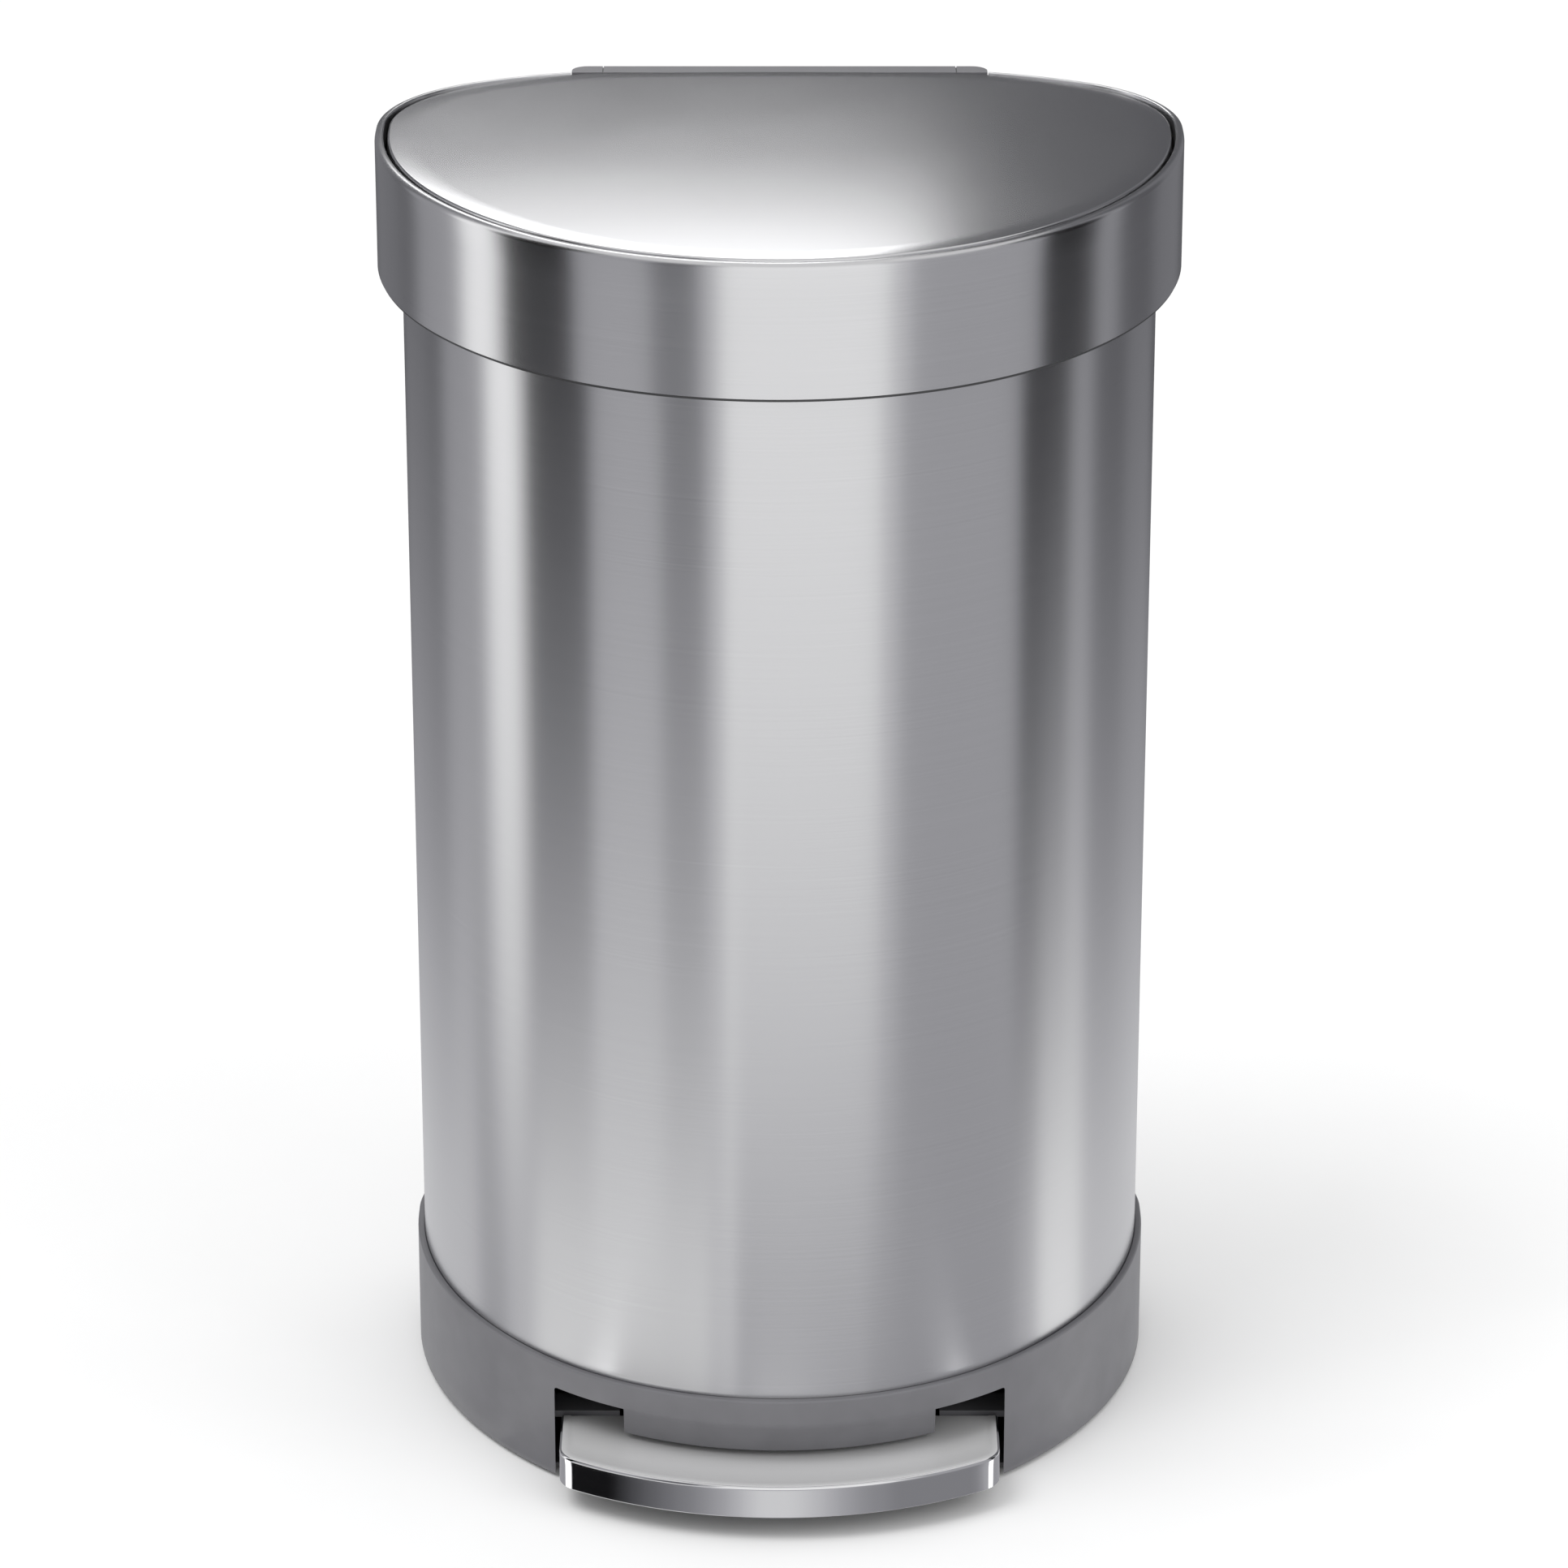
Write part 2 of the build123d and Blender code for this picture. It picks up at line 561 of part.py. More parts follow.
def pedal_core():
    """Plastic carrier under the steel pedal, with two arms to the axle."""
    core = bow(PEDAL_OUT - PEDAL_T, PEDAL_OUT - PEDAL_DEPTH, PEDAL_HALF - PEDAL_T,
               PEDAL_BOTTOM + 8, PEDAL_TOP - PEDAL_T, PEDAL_CORNER_R - PEDAL_T)
    x0, x1 = ARM_X
    arm = block(x0, x1, -195, AXLE_Y, AXLE_Z - 6, PEDAL_TOP - PEDAL_T) + bar_x(8, x0, x1, AXLE_Y, AXLE_Z)
    for side in both(arm):
        core += side
    core -= bar_x(AXLE_R + RUNNING, -80, 80, AXLE_Y, AXLE_Z)
    core -= block(-LEVER_HALF, LEVER_HALF, LEVER_FRONT, -140, 0, AXLE_Z + LEVER_T / 2)
    for x in PEDAL_SCREW_X:
        core -= post(SCREW_R, x, PEDAL_SCREW_Y, 0, AXLE_Z + 6)
    return core


def pedal_lever():
    """Steel lever from the pedal over the axle to the push rod."""
    half_t = LEVER_T / 2
    lever = block(-LEVER_HALF, LEVER_HALF, LEVER_FRONT, ROD_Y + 8, AXLE_Z - half_t, AXLE_Z + half_t)
    lever += bar_x(9, -LEVER_HALF, LEVER_HALF, AXLE_Y, AXLE_Z)
    lever -= bar_x(BUSH_R, -20, 20, AXLE_Y, AXLE_Z)
    for x in PEDAL_SCREW_X:
        lever -= post(SCREW_R, x, PEDAL_SCREW_Y, 0, AXLE_Z + 6)
    return lever


def lever_bush():
    """Plain bearing bush in the lever."""
    return bar_x(BUSH_R, -13, 13, AXLE_Y, AXLE_Z) - bar_x(AXLE_R + RUNNING, -14, 14, AXLE_Y, AXLE_Z)


def pedal_screws():
    """Screws that hold the lever to the pedal carrier."""
    low = AXLE_Z - LEVER_T / 2
    screws = []
    for x in PEDAL_SCREW_X:
        screw = post(SCREW_R, x, PEDAL_SCREW_Y, low, low + 8)
        screws.append(screw + post(SCREW_HEAD_R, x, PEDAL_SCREW_Y, low - 1.6, low))
    return screws


# ---------------------------------------------------------------- push rod
def push_rod():
    """Upright rod from the lever to the lid."""
    return post(ROD_R, 0, ROD_Y, NOSE_Z + 4, HEAD_TOP - 8)


def rod_foot():
    """Round-nosed foot that stands on the lever."""
    foot = bar_x(NOSE_R, -6, 6, ROD_Y, NOSE_Z) + post(6, 0, ROD_Y, NOSE_Z, NOSE_Z + 14)
    return foot - post(ROD_R, 0, ROD_Y, NOSE_Z + 4, NOSE_Z + 20)


def rod_head():
    """Flat head that lifts the lid's arm."""
    head = block(-8, 8, HEAD_FRONT, HEAD_BACK, HEAD_TOP - 6, HEAD_TOP)
    head += post(6, 0, ROD_Y, HEAD_TOP - 16, HEAD_TOP - 6)
    return head - post(ROD_R, 0, ROD_Y, HEAD_TOP - 17, HEAD_TOP - 8)


def damper_arm():
    """Clamp between the push rod and the damper's rod."""
    arm = block(-6, DAMPER_X + 5, DAMPER_Y - 5, DAMPER_Y + 7, CLAMP_LOW, CLAMP_HIGH)
    arm -= post(ROD_R, 0, ROD_Y, CLAMP_LOW - 1, CLAMP_HIGH + 1)
    return arm - post(DAMPER_ROD_R, DAMPER_X, DAMPER_Y, CLAMP_LOW - 1, CLAMP_HIGH + 1)


def damper_rod():
    """Thin rod of the damper with its piston."""
    piston_low = DAMPER_LOW + 22
    rod = post(DAMPER_ROD_R, DAMPER_X, DAMPER_Y, piston_low, CLAMP_HIGH)
    return rod + post(DAMPER_BORE - 0.4, DAMPER_X, DAMPER_Y, piston_low, piston_low + 10)


def guide_upper():
    """Upper guide of the push rod."""
    return rod_guide(GUIDE_HEIGHTS[1])


def guide_lower():
    """Lower guide of the push rod."""
    return rod_guide(GUIDE_HEIGHTS[0])


SUB_PARTS = {
    "body_shell": body_shell,
    "base_plinth": base_plinth,
    "floor_pan": floor_pan,
    "bottom_plate": bottom_plate,
    "base_screws": base_screws,
    "rubber_feet": rubber_feet,
    "pivot_brackets": pivot_brackets,
    "pedal_axle": pedal_axle,
    "axle_clips": axle_clips,
    "liner_collar": liner_collar,
    "rod_cover": rod_cover,
    "rod_guide_upper": guide_upper,
    "rod_guide_lower": guide_lower,
    "damper_cylinder": damper_cylinder,
    "damper_cap": damper_cap,
    "damper_bracket": damper_bracket,
    "rim_hinge_fixed_leaf": rim_hinge_fixed_leaf,
    "rim_hinge_pin": rim_hinge_pin,
    "hinge_rivets": hinge_rivets,
    "rim_band": rim_band,
    "rim_frame": rim_frame,
    "rim_hinge_moving_leaf": rim_hinge_moving_leaf,
    "leaf_screws": leaf_screws,
    "lid_hinge_pin": lid_hinge_pin,
    "lid_bumpers": lid_bumpers,
    "lid_skin": lid_skin,
    "lid_inner_pan": lid_inner_pan,
    "hinge_cover": hinge_cover,
    "hinge_end_caps": hinge_end_caps,
    "lid_cam": lid_cam,
    "lid_screws": lid_screws,
    "pedal_cover": pedal_cover,
    "pedal_core": pedal_core,
    "pedal_lever": pedal_lever,
    "lever_bush": lever_bush,
    "pedal_screws": pedal_screws,
    "push_rod": push_rod,
    "rod_foot": rod_foot,
    "rod_head": rod_head,
    "damper_arm": damper_arm,
    "damper_rod": damper_rod,
}


os.makedirs("parts", exist_ok=True)
for name, make in SUB_PARTS.items():
    made = make()
    pieces = made if isinstance(made, list) else [made]
    solids = [solid.moved(Location((0, PLAN_SHIFT, 0))) for piece in pieces for solid in piece.solids()]
    whole = Compound(children=solids) if len(solids) > 1 else solids[0]
    whole.label = name
    export_step(whole, f"parts/{name}.step")
    box = whole.bounding_box()
    print(f"{name}: {len(solids)} solids, z {box.min.Z:.2f} to {box.max.Z:.2f}")
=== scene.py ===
# %% [markdown]
# # A steel pedal bin, piece by piece
# The bin arrives as a fixed frame from the design: bodies, joints and plain solids at their real size.
# Blender only adds the finish. We could dress every solid as it comes, but wide brushed sheets show
# each flat facet in their reflections, so the large skins are built again here as dense smooth meshes
# and the small mechanical pieces keep their solids.

# %% Load the frame
import json
import math

import bmesh
import bpy
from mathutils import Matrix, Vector


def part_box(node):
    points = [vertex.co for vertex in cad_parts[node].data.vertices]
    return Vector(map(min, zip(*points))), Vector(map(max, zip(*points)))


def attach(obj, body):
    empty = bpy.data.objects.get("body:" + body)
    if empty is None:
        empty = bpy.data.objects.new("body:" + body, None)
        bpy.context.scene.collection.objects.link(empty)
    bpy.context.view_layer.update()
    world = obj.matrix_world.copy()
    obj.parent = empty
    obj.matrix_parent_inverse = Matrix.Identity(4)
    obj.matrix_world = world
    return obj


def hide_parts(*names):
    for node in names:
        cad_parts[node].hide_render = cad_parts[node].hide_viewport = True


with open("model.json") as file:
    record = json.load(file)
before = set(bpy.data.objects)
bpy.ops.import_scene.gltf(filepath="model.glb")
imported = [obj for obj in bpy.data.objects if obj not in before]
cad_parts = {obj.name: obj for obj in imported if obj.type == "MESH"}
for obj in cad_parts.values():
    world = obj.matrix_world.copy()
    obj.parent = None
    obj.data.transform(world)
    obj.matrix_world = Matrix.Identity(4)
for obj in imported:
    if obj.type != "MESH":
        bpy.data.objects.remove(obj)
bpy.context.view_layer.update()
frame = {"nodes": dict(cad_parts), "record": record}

# %% [markdown]
# ## The plan outline
# From above the bin is a D: a round front, two flatter flanks, a tight corner on each side and an almost
# flat back. A traced curve would do, but five arcs that share their tangents are truer to how the sheet
# is rolled, and they can be grown outward for the rim or inward for a lining without changing centres.

# %% Values of the outline
MM = 0.001
FRONT_R = 168 * MM
SIDE_RUN = 8 * MM
CORNER_R = 73 * MM
BACK_R = 200 * MM
FRONT_TURN = math.radians(45)
CORNER_TURN = math.radians(62.5)

shell_low, shell_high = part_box("body_shell")
HALF_WIDTH = shell_high.x
FLANK_R = (HALF_WIDTH - FRONT_R * math.cos(FRONT_TURN)) / (1 - math.cos(FRONT_TURN))
WIDE_Y = shell_low.y + FRONT_R + (FLANK_R - FRONT_R) * math.sin(FRONT_TURN)
FRONT_Y = WIDE_Y - (FLANK_R - FRONT_R) * math.sin(FRONT_TURN)
BACK_X = HALF_WIDTH - CORNER_R + (CORNER_R - BACK_R) * math.cos(CORNER_TURN)
BACK_Y = WIDE_Y + SIDE_RUN + (CORNER_R - BACK_R) * math.sin(CORNER_TURN)
print("flank radius", round(FLANK_R, 4), "widest line at y", round(WIDE_Y, 4))

# %% Points of the outline
ARC_STEP = math.radians(1.5)
BACK_STEPS = 16
FLAT_STEPS = 8


def arc_xy(x, y, radius, start, stop):
    """Points of one arc, evenly spaced, both ends included."""
    count = max(2, round(abs(stop - start) / ARC_STEP) + 1)
    turns = [start + (stop - start) * i / (count - 1) for i in range(count)]
    return [(x + radius * math.cos(turn), y + radius * math.sin(turn)) for turn in turns]


def half_outline(grow, stop_x=0.0):
    """Right half of the D, from the front middle to the back, ended where x falls to stop_x."""
    points = arc_xy(0, FRONT_Y, FRONT_R + grow, math.radians(-90), -FRONT_TURN)
    points += arc_xy(HALF_WIDTH - FLANK_R, WIDE_Y, FLANK_R + grow, -FRONT_TURN, 0)[1:]
    points += arc_xy(HALF_WIDTH - CORNER_R, WIDE_Y + SIDE_RUN, CORNER_R + grow, 0, CORNER_TURN)
    radius = BACK_R + grow
    last = math.radians(90)
    if stop_x > BACK_X:
        last = math.acos((stop_x - BACK_X) / radius)
    turns = [CORNER_TURN + (last - CORNER_TURN) * i / BACK_STEPS for i in range(1, BACK_STEPS + 1)]
    points += [(BACK_X + radius * math.cos(turn), BACK_Y + radius * math.sin(turn)) for turn in turns]
    if stop_x <= 0:
        points += [(BACK_X * (1 - i / FLAT_STEPS), points[-1][1]) for i in range(1, FLAT_STEPS + 1)]
    return points


def outline(grow, stop_x=0.0):
    """Points round the D. It is a closed loop unless stop_x leaves the back open."""
    right = half_outline(grow, stop_x)
    left = [(-x, y) for x, y in reversed(right)]
    if stop_x > 0:
        return left[:-1] + right
    return left[:-1] + right[:-1]


print("points round the shell:", len(outline(0)))

# %% [markdown]
# ## Rolling a profile round the outline
# The shell, the rim and the plinth are all one section carried round the D. A sweep along a curve object
# could make them, but here every outward step has its own true arc, so each corner of the section is
# simply drawn at its own growth. The same helper writes a texture map in metres, with U along the edge
# and V up the wall, which the brushing uses later.

# %% Profile helpers
MAP = "run"
SMOOTH_ANGLE = math.radians(35)


def finish_mesh(name, bm):
    """Turns bmesh data into an object with smooth faces and sharp edges where the surface really turns."""
    bmesh.ops.recalc_face_normals(bm, faces=bm.faces)
    mesh = bpy.data.meshes.new(name)
    bm.to_mesh(mesh)
    bm.free()
    mesh.shade_smooth()
    mesh.set_sharp_from_angle(angle=SMOOTH_ANGLE)
    piece = bpy.data.objects.new(name, mesh)
    bpy.context.scene.collection.objects.link(piece)
    return piece


def bend(centre, radius, start, stop, steps):
    """Rounded corner of a section, as (growth, height) points."""
    turns = [math.radians(start + (stop - start) * i / steps) for i in range(steps + 1)]
    return [(centre[0] + radius * math.cos(t), centre[1] + radius * math.sin(t)) for t in turns]


def roll(name, section, stop_x=0.0):
    """Carries a closed section of (growth, height) points round the outline."""
    bm = bmesh.new()
    layer = bm.loops.layers.uv.new(MAP)
    rings = []
    for grow, height in section:
        rings.append([bm.verts.new((x, y, height)) for x, y in outline(grow, stop_x)])
    base = outline(0, stop_x)
    closed = stop_x <= 0
    spans = len(base) if closed else len(base) - 1
    run = [0.0]
    for i in range(spans):
        run.append(run[-1] + math.dist(base[i], base[(i + 1) % len(base)]))
    middle = run[-1] / 2
    climb = [0.0]
    for (g0, z0), (g1, z1) in zip(section, section[1:] + section[:1]):
        climb.append(climb[-1] + math.dist((g0, z0), (g1, z1)))
    for k in range(len(section)):
        low, high = rings[k], rings[(k + 1) % len(section)]
        for i in range(spans):
            j = (i + 1) % len(base)
            face = bm.faces.new((low[i], low[j], high[j], high[i]))
            ends = ((i, k), (i + 1, k), (i + 1, k + 1), (i, k + 1))
            for loop, (along, up) in zip(face.loops, ends):
                loop[layer].uv = (run[along] - middle, climb[up] + section[0][1])
    if not closed:
        bm.faces.new([ring[0] for ring in rings])
        bm.faces.new([ring[-1] for ring in reversed(rings)])
    return finish_mesh(name, bm)


def subdivide_heights(low, high, steps):
    """Heights between two ends, the ends left out."""
    return [low + (high - low) * i / steps for i in range(1, steps)]


# %% [markdown]
# ## Cutting openings
# The plinth has a doorway for the pedal and the rim stops at the hinge. Real plastic is moulded that way;
# here a box, its upper corners rounded if need be, is subtracted. The cutter is removed at once, so
# nothing is left in the scene that isn't part of the bin. Small plain pieces are boxes of the same kind.

# %% Box and cutting helpers
ROUND_STEPS = 8
LEVEL_WITHIN = 1e-6


def box_mesh(name, low, high, round_radius=0.0):
    """Box between two corners; its two upper edges that run front to back can be rounded."""
    bm = bmesh.new()
    bmesh.ops.create_cube(bm, size=1.0)
    size = [b - a for a, b in zip(low, high)]
    middle = [(a + b) / 2 for a, b in zip(low, high)]
    for vert in bm.verts:
        vert.co = Vector([m + c * s for m, c, s in zip(middle, vert.co, size)])
    if round_radius:
        top = [e for e in bm.edges if all(v.co.z > middle[2] for v in e.verts)
               and abs(e.verts[0].co.x - e.verts[1].co.x) < LEVEL_WITHIN]
        bmesh.ops.bevel(bm, geom=top, offset=round_radius, segments=ROUND_STEPS, affect="EDGES", profile=0.5)
    return finish_mesh(name, bm)


def mirrored_boxes(name, low, high):
    """Two boxes, named left and right, from the corners of the right one."""
    left = box_mesh(f"{name}_left", (-high[0], low[1], low[2]), (-low[0], high[1], high[2]))
    return left, box_mesh(f"{name}_right", low, high)


def cut(piece, cutter):
    """Subtracts a cutter from a piece and removes the cutter."""
    step = piece.modifiers.new("cut", "BOOLEAN")
    step.operation = "DIFFERENCE"
    step.solver = "EXACT"
    step.object = cutter
    graph = bpy.context.evaluated_depsgraph_get()
    made = bpy.data.meshes.new_from_object(piece.evaluated_get(graph), depsgraph=graph)
    piece.modifiers.clear()
    piece.data = made
    made.name = piece.name
    made.set_sharp_from_angle(angle=SMOOTH_ANGLE)
    bpy.data.objects.remove(cutter)


# %% [markdown]
# ## The shell
# The body is thin stainless sheet, rolled into the D and set into the plinth. One wall with an outside
# and an inside is enough. It is divided in height, so its faces don't become long slivers.

# %% Make the shell
SHEET = 0.8 * MM
SHELL_STEPS = 9
SHELL_BOTTOM, SHELL_TOP = shell_low.z, shell_high.z
shell_heights = [SHELL_BOTTOM, *subdivide_heights(SHELL_BOTTOM, SHELL_TOP, SHELL_STEPS), SHELL_TOP]
shell_section = [(0, z) for z in shell_heights] + [(-SHEET, z) for z in reversed(shell_heights)]
shell_skin = roll("shell_skin", shell_section)
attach(shell_skin, "can")
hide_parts("body_shell")
print("shell faces:", len(shell_skin.data.polygons))

# %% [markdown]
# ## The rim band
# A wide steel band hides the edge of the bag. Its top is rolled over on a small radius and turned down
# again inside, so nobody meets a raw edge. The section is drawn as the press makes it: skirt, bend,
# flat top, small inner bend and a short return. The band stops at the hinge and its skirt stops short
# of the back, where it would hit the shell when the rim tips up.

# %% Make the rim band
band_low, band_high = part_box("rim_band")
RIM_TOP, BAND_BOTTOM = band_high.z, band_low.z
BAND_SHEET = 1.0 * MM
BAND_OUT = band_high.x - HALF_WIDTH
BAND_IN = BAND_OUT - BAND_SHEET
EDGE_RISE = 0.4 * MM
ROLL_R = 3.0 * MM
INNER_ROLL_R = 0.8 * MM
LIP_IN, LIP_BOTTOM = BAND_OUT - 4.3 * MM, RIM_TOP - 9 * MM
LIP_UNDER = RIM_TOP - 1.2 * MM
HEM_R = 1.1 * MM
HEM_IN, HEM_TOP = BAND_IN - 1.2 * MM, BAND_BOTTOM + 0.5 * MM
HINGE_HALF = 104.5 * MM
SKIRT_STOP = 125 * MM
SKIRT_CUT = ((-SKIRT_STOP, WIDE_Y + 50 * MM, 0), (SKIRT_STOP, 1, 607 * MM))

band_section = [(BAND_OUT, BAND_BOTTOM + EDGE_RISE)]
band_section += [(BAND_OUT, z) for z in subdivide_heights(BAND_BOTTOM, RIM_TOP - ROLL_R, 5)]
band_section += bend((BAND_OUT - ROLL_R, RIM_TOP - ROLL_R), ROLL_R, 0, 90, 8)
band_section += bend((LIP_IN + INNER_ROLL_R, RIM_TOP - INNER_ROLL_R), INNER_ROLL_R, 90, 180, 5)
band_section += [(LIP_IN, LIP_BOTTOM), (LIP_IN + BAND_SHEET, LIP_BOTTOM), (LIP_IN + BAND_SHEET, LIP_UNDER)]
band_section += bend((BAND_OUT - ROLL_R, RIM_TOP - ROLL_R), ROLL_R - BAND_SHEET, 80, 0, 6)
band_section += [(BAND_IN, HEM_TOP), (HEM_IN, HEM_TOP), (HEM_IN, BAND_BOTTOM)]
band_section += bend((BAND_OUT - HEM_R, BAND_BOTTOM + HEM_R), HEM_R, -90, -10, 5)
rim_skin = roll("rim_skin", band_section, stop_x=HINGE_HALF)
cut(rim_skin, box_mesh("skirt_cut", *SKIRT_CUT))
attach(rim_skin, "rim")
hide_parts("rim_band")
print("rim faces:", len(rim_skin.data.polygons))

# %% [markdown]
# ## The dark strip under the band
# A narrow dark strip hangs just below the lower edge of the band. It is painted shade: a dark piece put where
# the shell only lies in shade under the band. It could be a bevelled curve, but rolling a small section round
# the same outline keeps it at an even distance from the steel.

# %% Make the painted-shade strip
SHADE_STRIP_BOTTOM, SHADE_STRIP_TOP = BAND_BOTTOM - 1.0 * MM, BAND_BOTTOM + 8 * MM
SHADE_STRIP_OUT, SHADE_STRIP_IN = BAND_IN + 0.3 * MM, BAND_IN - 1.6 * MM
SHADE_STRIP_STEP = BAND_IN - 0.6 * MM
shade_strip_section = [(SHADE_STRIP_OUT, BAND_BOTTOM + EDGE_RISE), (SHADE_STRIP_OUT, SHADE_STRIP_BOTTOM),
                  (SHADE_STRIP_IN, SHADE_STRIP_BOTTOM), (SHADE_STRIP_IN, SHADE_STRIP_TOP),
                  (SHADE_STRIP_STEP, SHADE_STRIP_TOP), (SHADE_STRIP_STEP, BAND_BOTTOM + EDGE_RISE)]
shade_strip = roll("band_shade_strip", shade_strip_section, stop_x=HINGE_HALF)
cut(shade_strip, box_mesh("shade_strip_cut", *SKIRT_CUT))
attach(shade_strip, "rim")
print("edging faces:", len(shade_strip.data.polygons))

# %% [markdown]
# ## The lid
# The lid is a pressed sheet: slightly crowned so that it doesn't drum or dish, with a tight radius where
# it turns down. A subdivided plane could be cut to shape, but rings that shrink from the edge to the
# middle keep the edge clean all the way round and let one formula set the crown.

# %% Make the lid
lid_low, lid_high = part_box("lid_skin")
LID_OUT = lid_high.x - HALF_WIDTH
LID_BACK = lid_high.y
CROWN_TOP = lid_high.z
CROWN_R = 6.0
CROWN_Y = WIDE_Y - 55 * MM
EDGE_R = 1.4 * MM
LID_SHEET = 1.0 * MM
FLANGE_BOTTOM = lid_low.z
FLANGE_STOP = LID_BACK - 13 * MM
BACK_FLANGE = 0.6 * MM
INNER_STEP = 0.5 * MM
LID_RINGS, UNDER_RINGS = 14, 5
UNDER_SHARE = 0.99


def crown_z(x, y):
    """Height of the crowned sheet over a point."""
    return CROWN_TOP - (x * x + (y - CROWN_Y) ** 2) / (2 * CROWN_R)


def lid_loop(grow):
    """The lid's outline, cut straight along the hinge."""
    back = LID_BACK - (LID_OUT - grow)
    return [(x, min(y, back)) for x, y in outline(grow)]


def shrunk(loop, share, depth):
    """Loop drawn in toward the crown's middle, at one depth under the crown."""
    return [(x * share, CROWN_Y + (y - CROWN_Y) * share, depth, True) for x, y in loop]


def make_lid():
    """Crowned top, rounded edge, short flange and the underside of the sheet."""
    bm = bmesh.new()
    layer = bm.loops.layers.uv.new(MAP)
    loops = []
    edge = lid_loop(LID_OUT - EDGE_R)
    for i in range(1, LID_RINGS + 1):
        loops.append(shrunk(edge, i / LID_RINGS, 0.0))
    for turn in (22.5, 45, 67.5, 90):
        grow = LID_OUT - EDGE_R + EDGE_R * math.sin(math.radians(turn))
        drop = EDGE_R * (1 - math.cos(math.radians(turn)))
        loops.append([(x, y, drop, True) for x, y in lid_loop(grow)])
    for grow in (LID_OUT, LID_OUT - LID_SHEET):
        flange = []
        for x, y in lid_loop(grow):
            low = FLANGE_BOTTOM if y < FLANGE_STOP else crown_z(x, y) - EDGE_R - BACK_FLANGE
            flange.append((x, y, low, False))
        loops.append(flange)
    inner = lid_loop(LID_OUT - LID_SHEET)
    loops.append([(x, y, LID_SHEET + INNER_STEP, True) for x, y in inner])
    for i in range(UNDER_RINGS):
        loops.append(shrunk(inner, UNDER_SHARE * (1 - i / UNDER_RINGS), LID_SHEET))
    rings = []
    for loop in loops:
        rings.append([bm.verts.new((x, y, crown_z(x, y) - z if follows else z)) for x, y, z, follows in loop])
    count = len(rings[0])
    for low, high in zip(rings, rings[1:]):
        for i in range(count):
            j = (i + 1) % count
            bm.faces.new((low[i], low[j], high[j], high[i]))
    for ring_verts, height in ((rings[0], CROWN_TOP), (rings[-1], CROWN_TOP - LID_SHEET)):
        tip = bm.verts.new((0, CROWN_Y, height))
        for i in range(count):
            bm.faces.new((ring_verts[i], ring_verts[(i + 1) % count], tip))
    for face in bm.faces:
        for loop in face.loops:
            loop[layer].uv = (loop.vert.co.x, loop.vert.co.y)
    return finish_mesh("lid_top", bm)


lid_top = make_lid()
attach(lid_top, "lid")
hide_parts("lid_skin")
print("lid faces:", len(lid_top.data.polygons))

# %% [markdown]
# ## Dark sheets in the hinge gaps
# The end caps clip on with half a millimetre to spare, and a thin dark sheet fills that gap. It is painted
# shade that draws the gap as a dark line. The gap could be left open, but then light shows through it from
# behind.

# %% Make the painted gap shade
caps_low, caps_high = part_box("hinge_end_caps")
GAP_SHADE_LOW = (88.2 * MM, caps_low.y + 0.4 * MM, caps_high.z - 7 * MM)
GAP_SHADE_HIGH = (88.7 * MM, caps_high.y - 1 * MM, caps_high.z - 0.5 * MM)
hinge_gap_shades = mirrored_boxes("hinge_gap_shade", GAP_SHADE_LOW, GAP_SHADE_HIGH)
for gap_shade in hinge_gap_shades:
    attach(gap_shade, "lid")
print("hinge seals:", len(hinge_gap_shades))

# %% [markdown]
# ## The plinth
# The base is one grey moulding. It carries the shell in a groove with a narrow soft-edged ledge round it,
# and a doorway at the front lets the pedal through; a notch in the ledge inside clears the push rod. In
# the middle of the doorway an apron slopes inward, so a shoe never meets a sharp wall. The wall is rolled
# like the steel, the openings are cut, and the apron is a small sheet that is lofted row by row.

# %% Make the plinth
plinth_low, plinth_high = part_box("base_plinth")
PLINTH_OUT = plinth_high.x - HALF_WIDTH
PLINTH_IN = PLINTH_OUT - 2.5 * MM
PLINTH_TOP, PLINTH_BOTTOM = plinth_high.z, plinth_low.z
LEDGE_R = 1.2 * MM
GROOVE, GROOVE_R = 0.1 * MM, 0.5 * MM
FOOT_R = 0.8 * MM
SEAT_IN, SEAT_BOTTOM = -12 * MM, SHELL_BOTTOM - 2.5 * MM
DOOR_HALF = 112 * MM
DOOR_TOP = 51 * MM
DOOR_LOW, DOOR_HIGH = (-DOOR_HALF, -1, -20 * MM), (DOOR_HALF, WIDE_Y - 100 * MM, DOOR_TOP)
NOTCH_LOW, NOTCH_HIGH = (-10 * MM, WIDE_Y + 71 * MM, 56 * MM), (10 * MM, WIDE_Y + 93 * MM, 61 * MM)

plinth_section = [(PLINTH_OUT, PLINTH_BOTTOM + FOOT_R)]
plinth_section += [(PLINTH_OUT, z) for z in subdivide_heights(PLINTH_BOTTOM, PLINTH_TOP - LEDGE_R, 6)]
plinth_section += bend((PLINTH_OUT - LEDGE_R, PLINTH_TOP - LEDGE_R), LEDGE_R, 0, 90, 6)
plinth_section += bend((GROOVE + GROOVE_R, PLINTH_TOP - GROOVE_R), GROOVE_R, 90, 180, 4)
plinth_section += [(GROOVE, SHELL_BOTTOM), (SEAT_IN, SHELL_BOTTOM), (SEAT_IN, SEAT_BOTTOM)]
plinth_section += [(PLINTH_IN, SEAT_BOTTOM), (PLINTH_IN, PLINTH_BOTTOM)]
plinth_section += bend((PLINTH_OUT - FOOT_R, PLINTH_BOTTOM + FOOT_R), FOOT_R, -90, -20, 4)
plinth = roll("plinth", plinth_section)
cut(plinth, box_mesh("door", DOOR_LOW, DOOR_HIGH, round_radius=1.5 * MM))
cut(plinth, box_mesh("rod_notch", NOTCH_LOW, NOTCH_HIGH))
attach(plinth, "can")
print("plinth faces:", len(plinth.data.polygons))

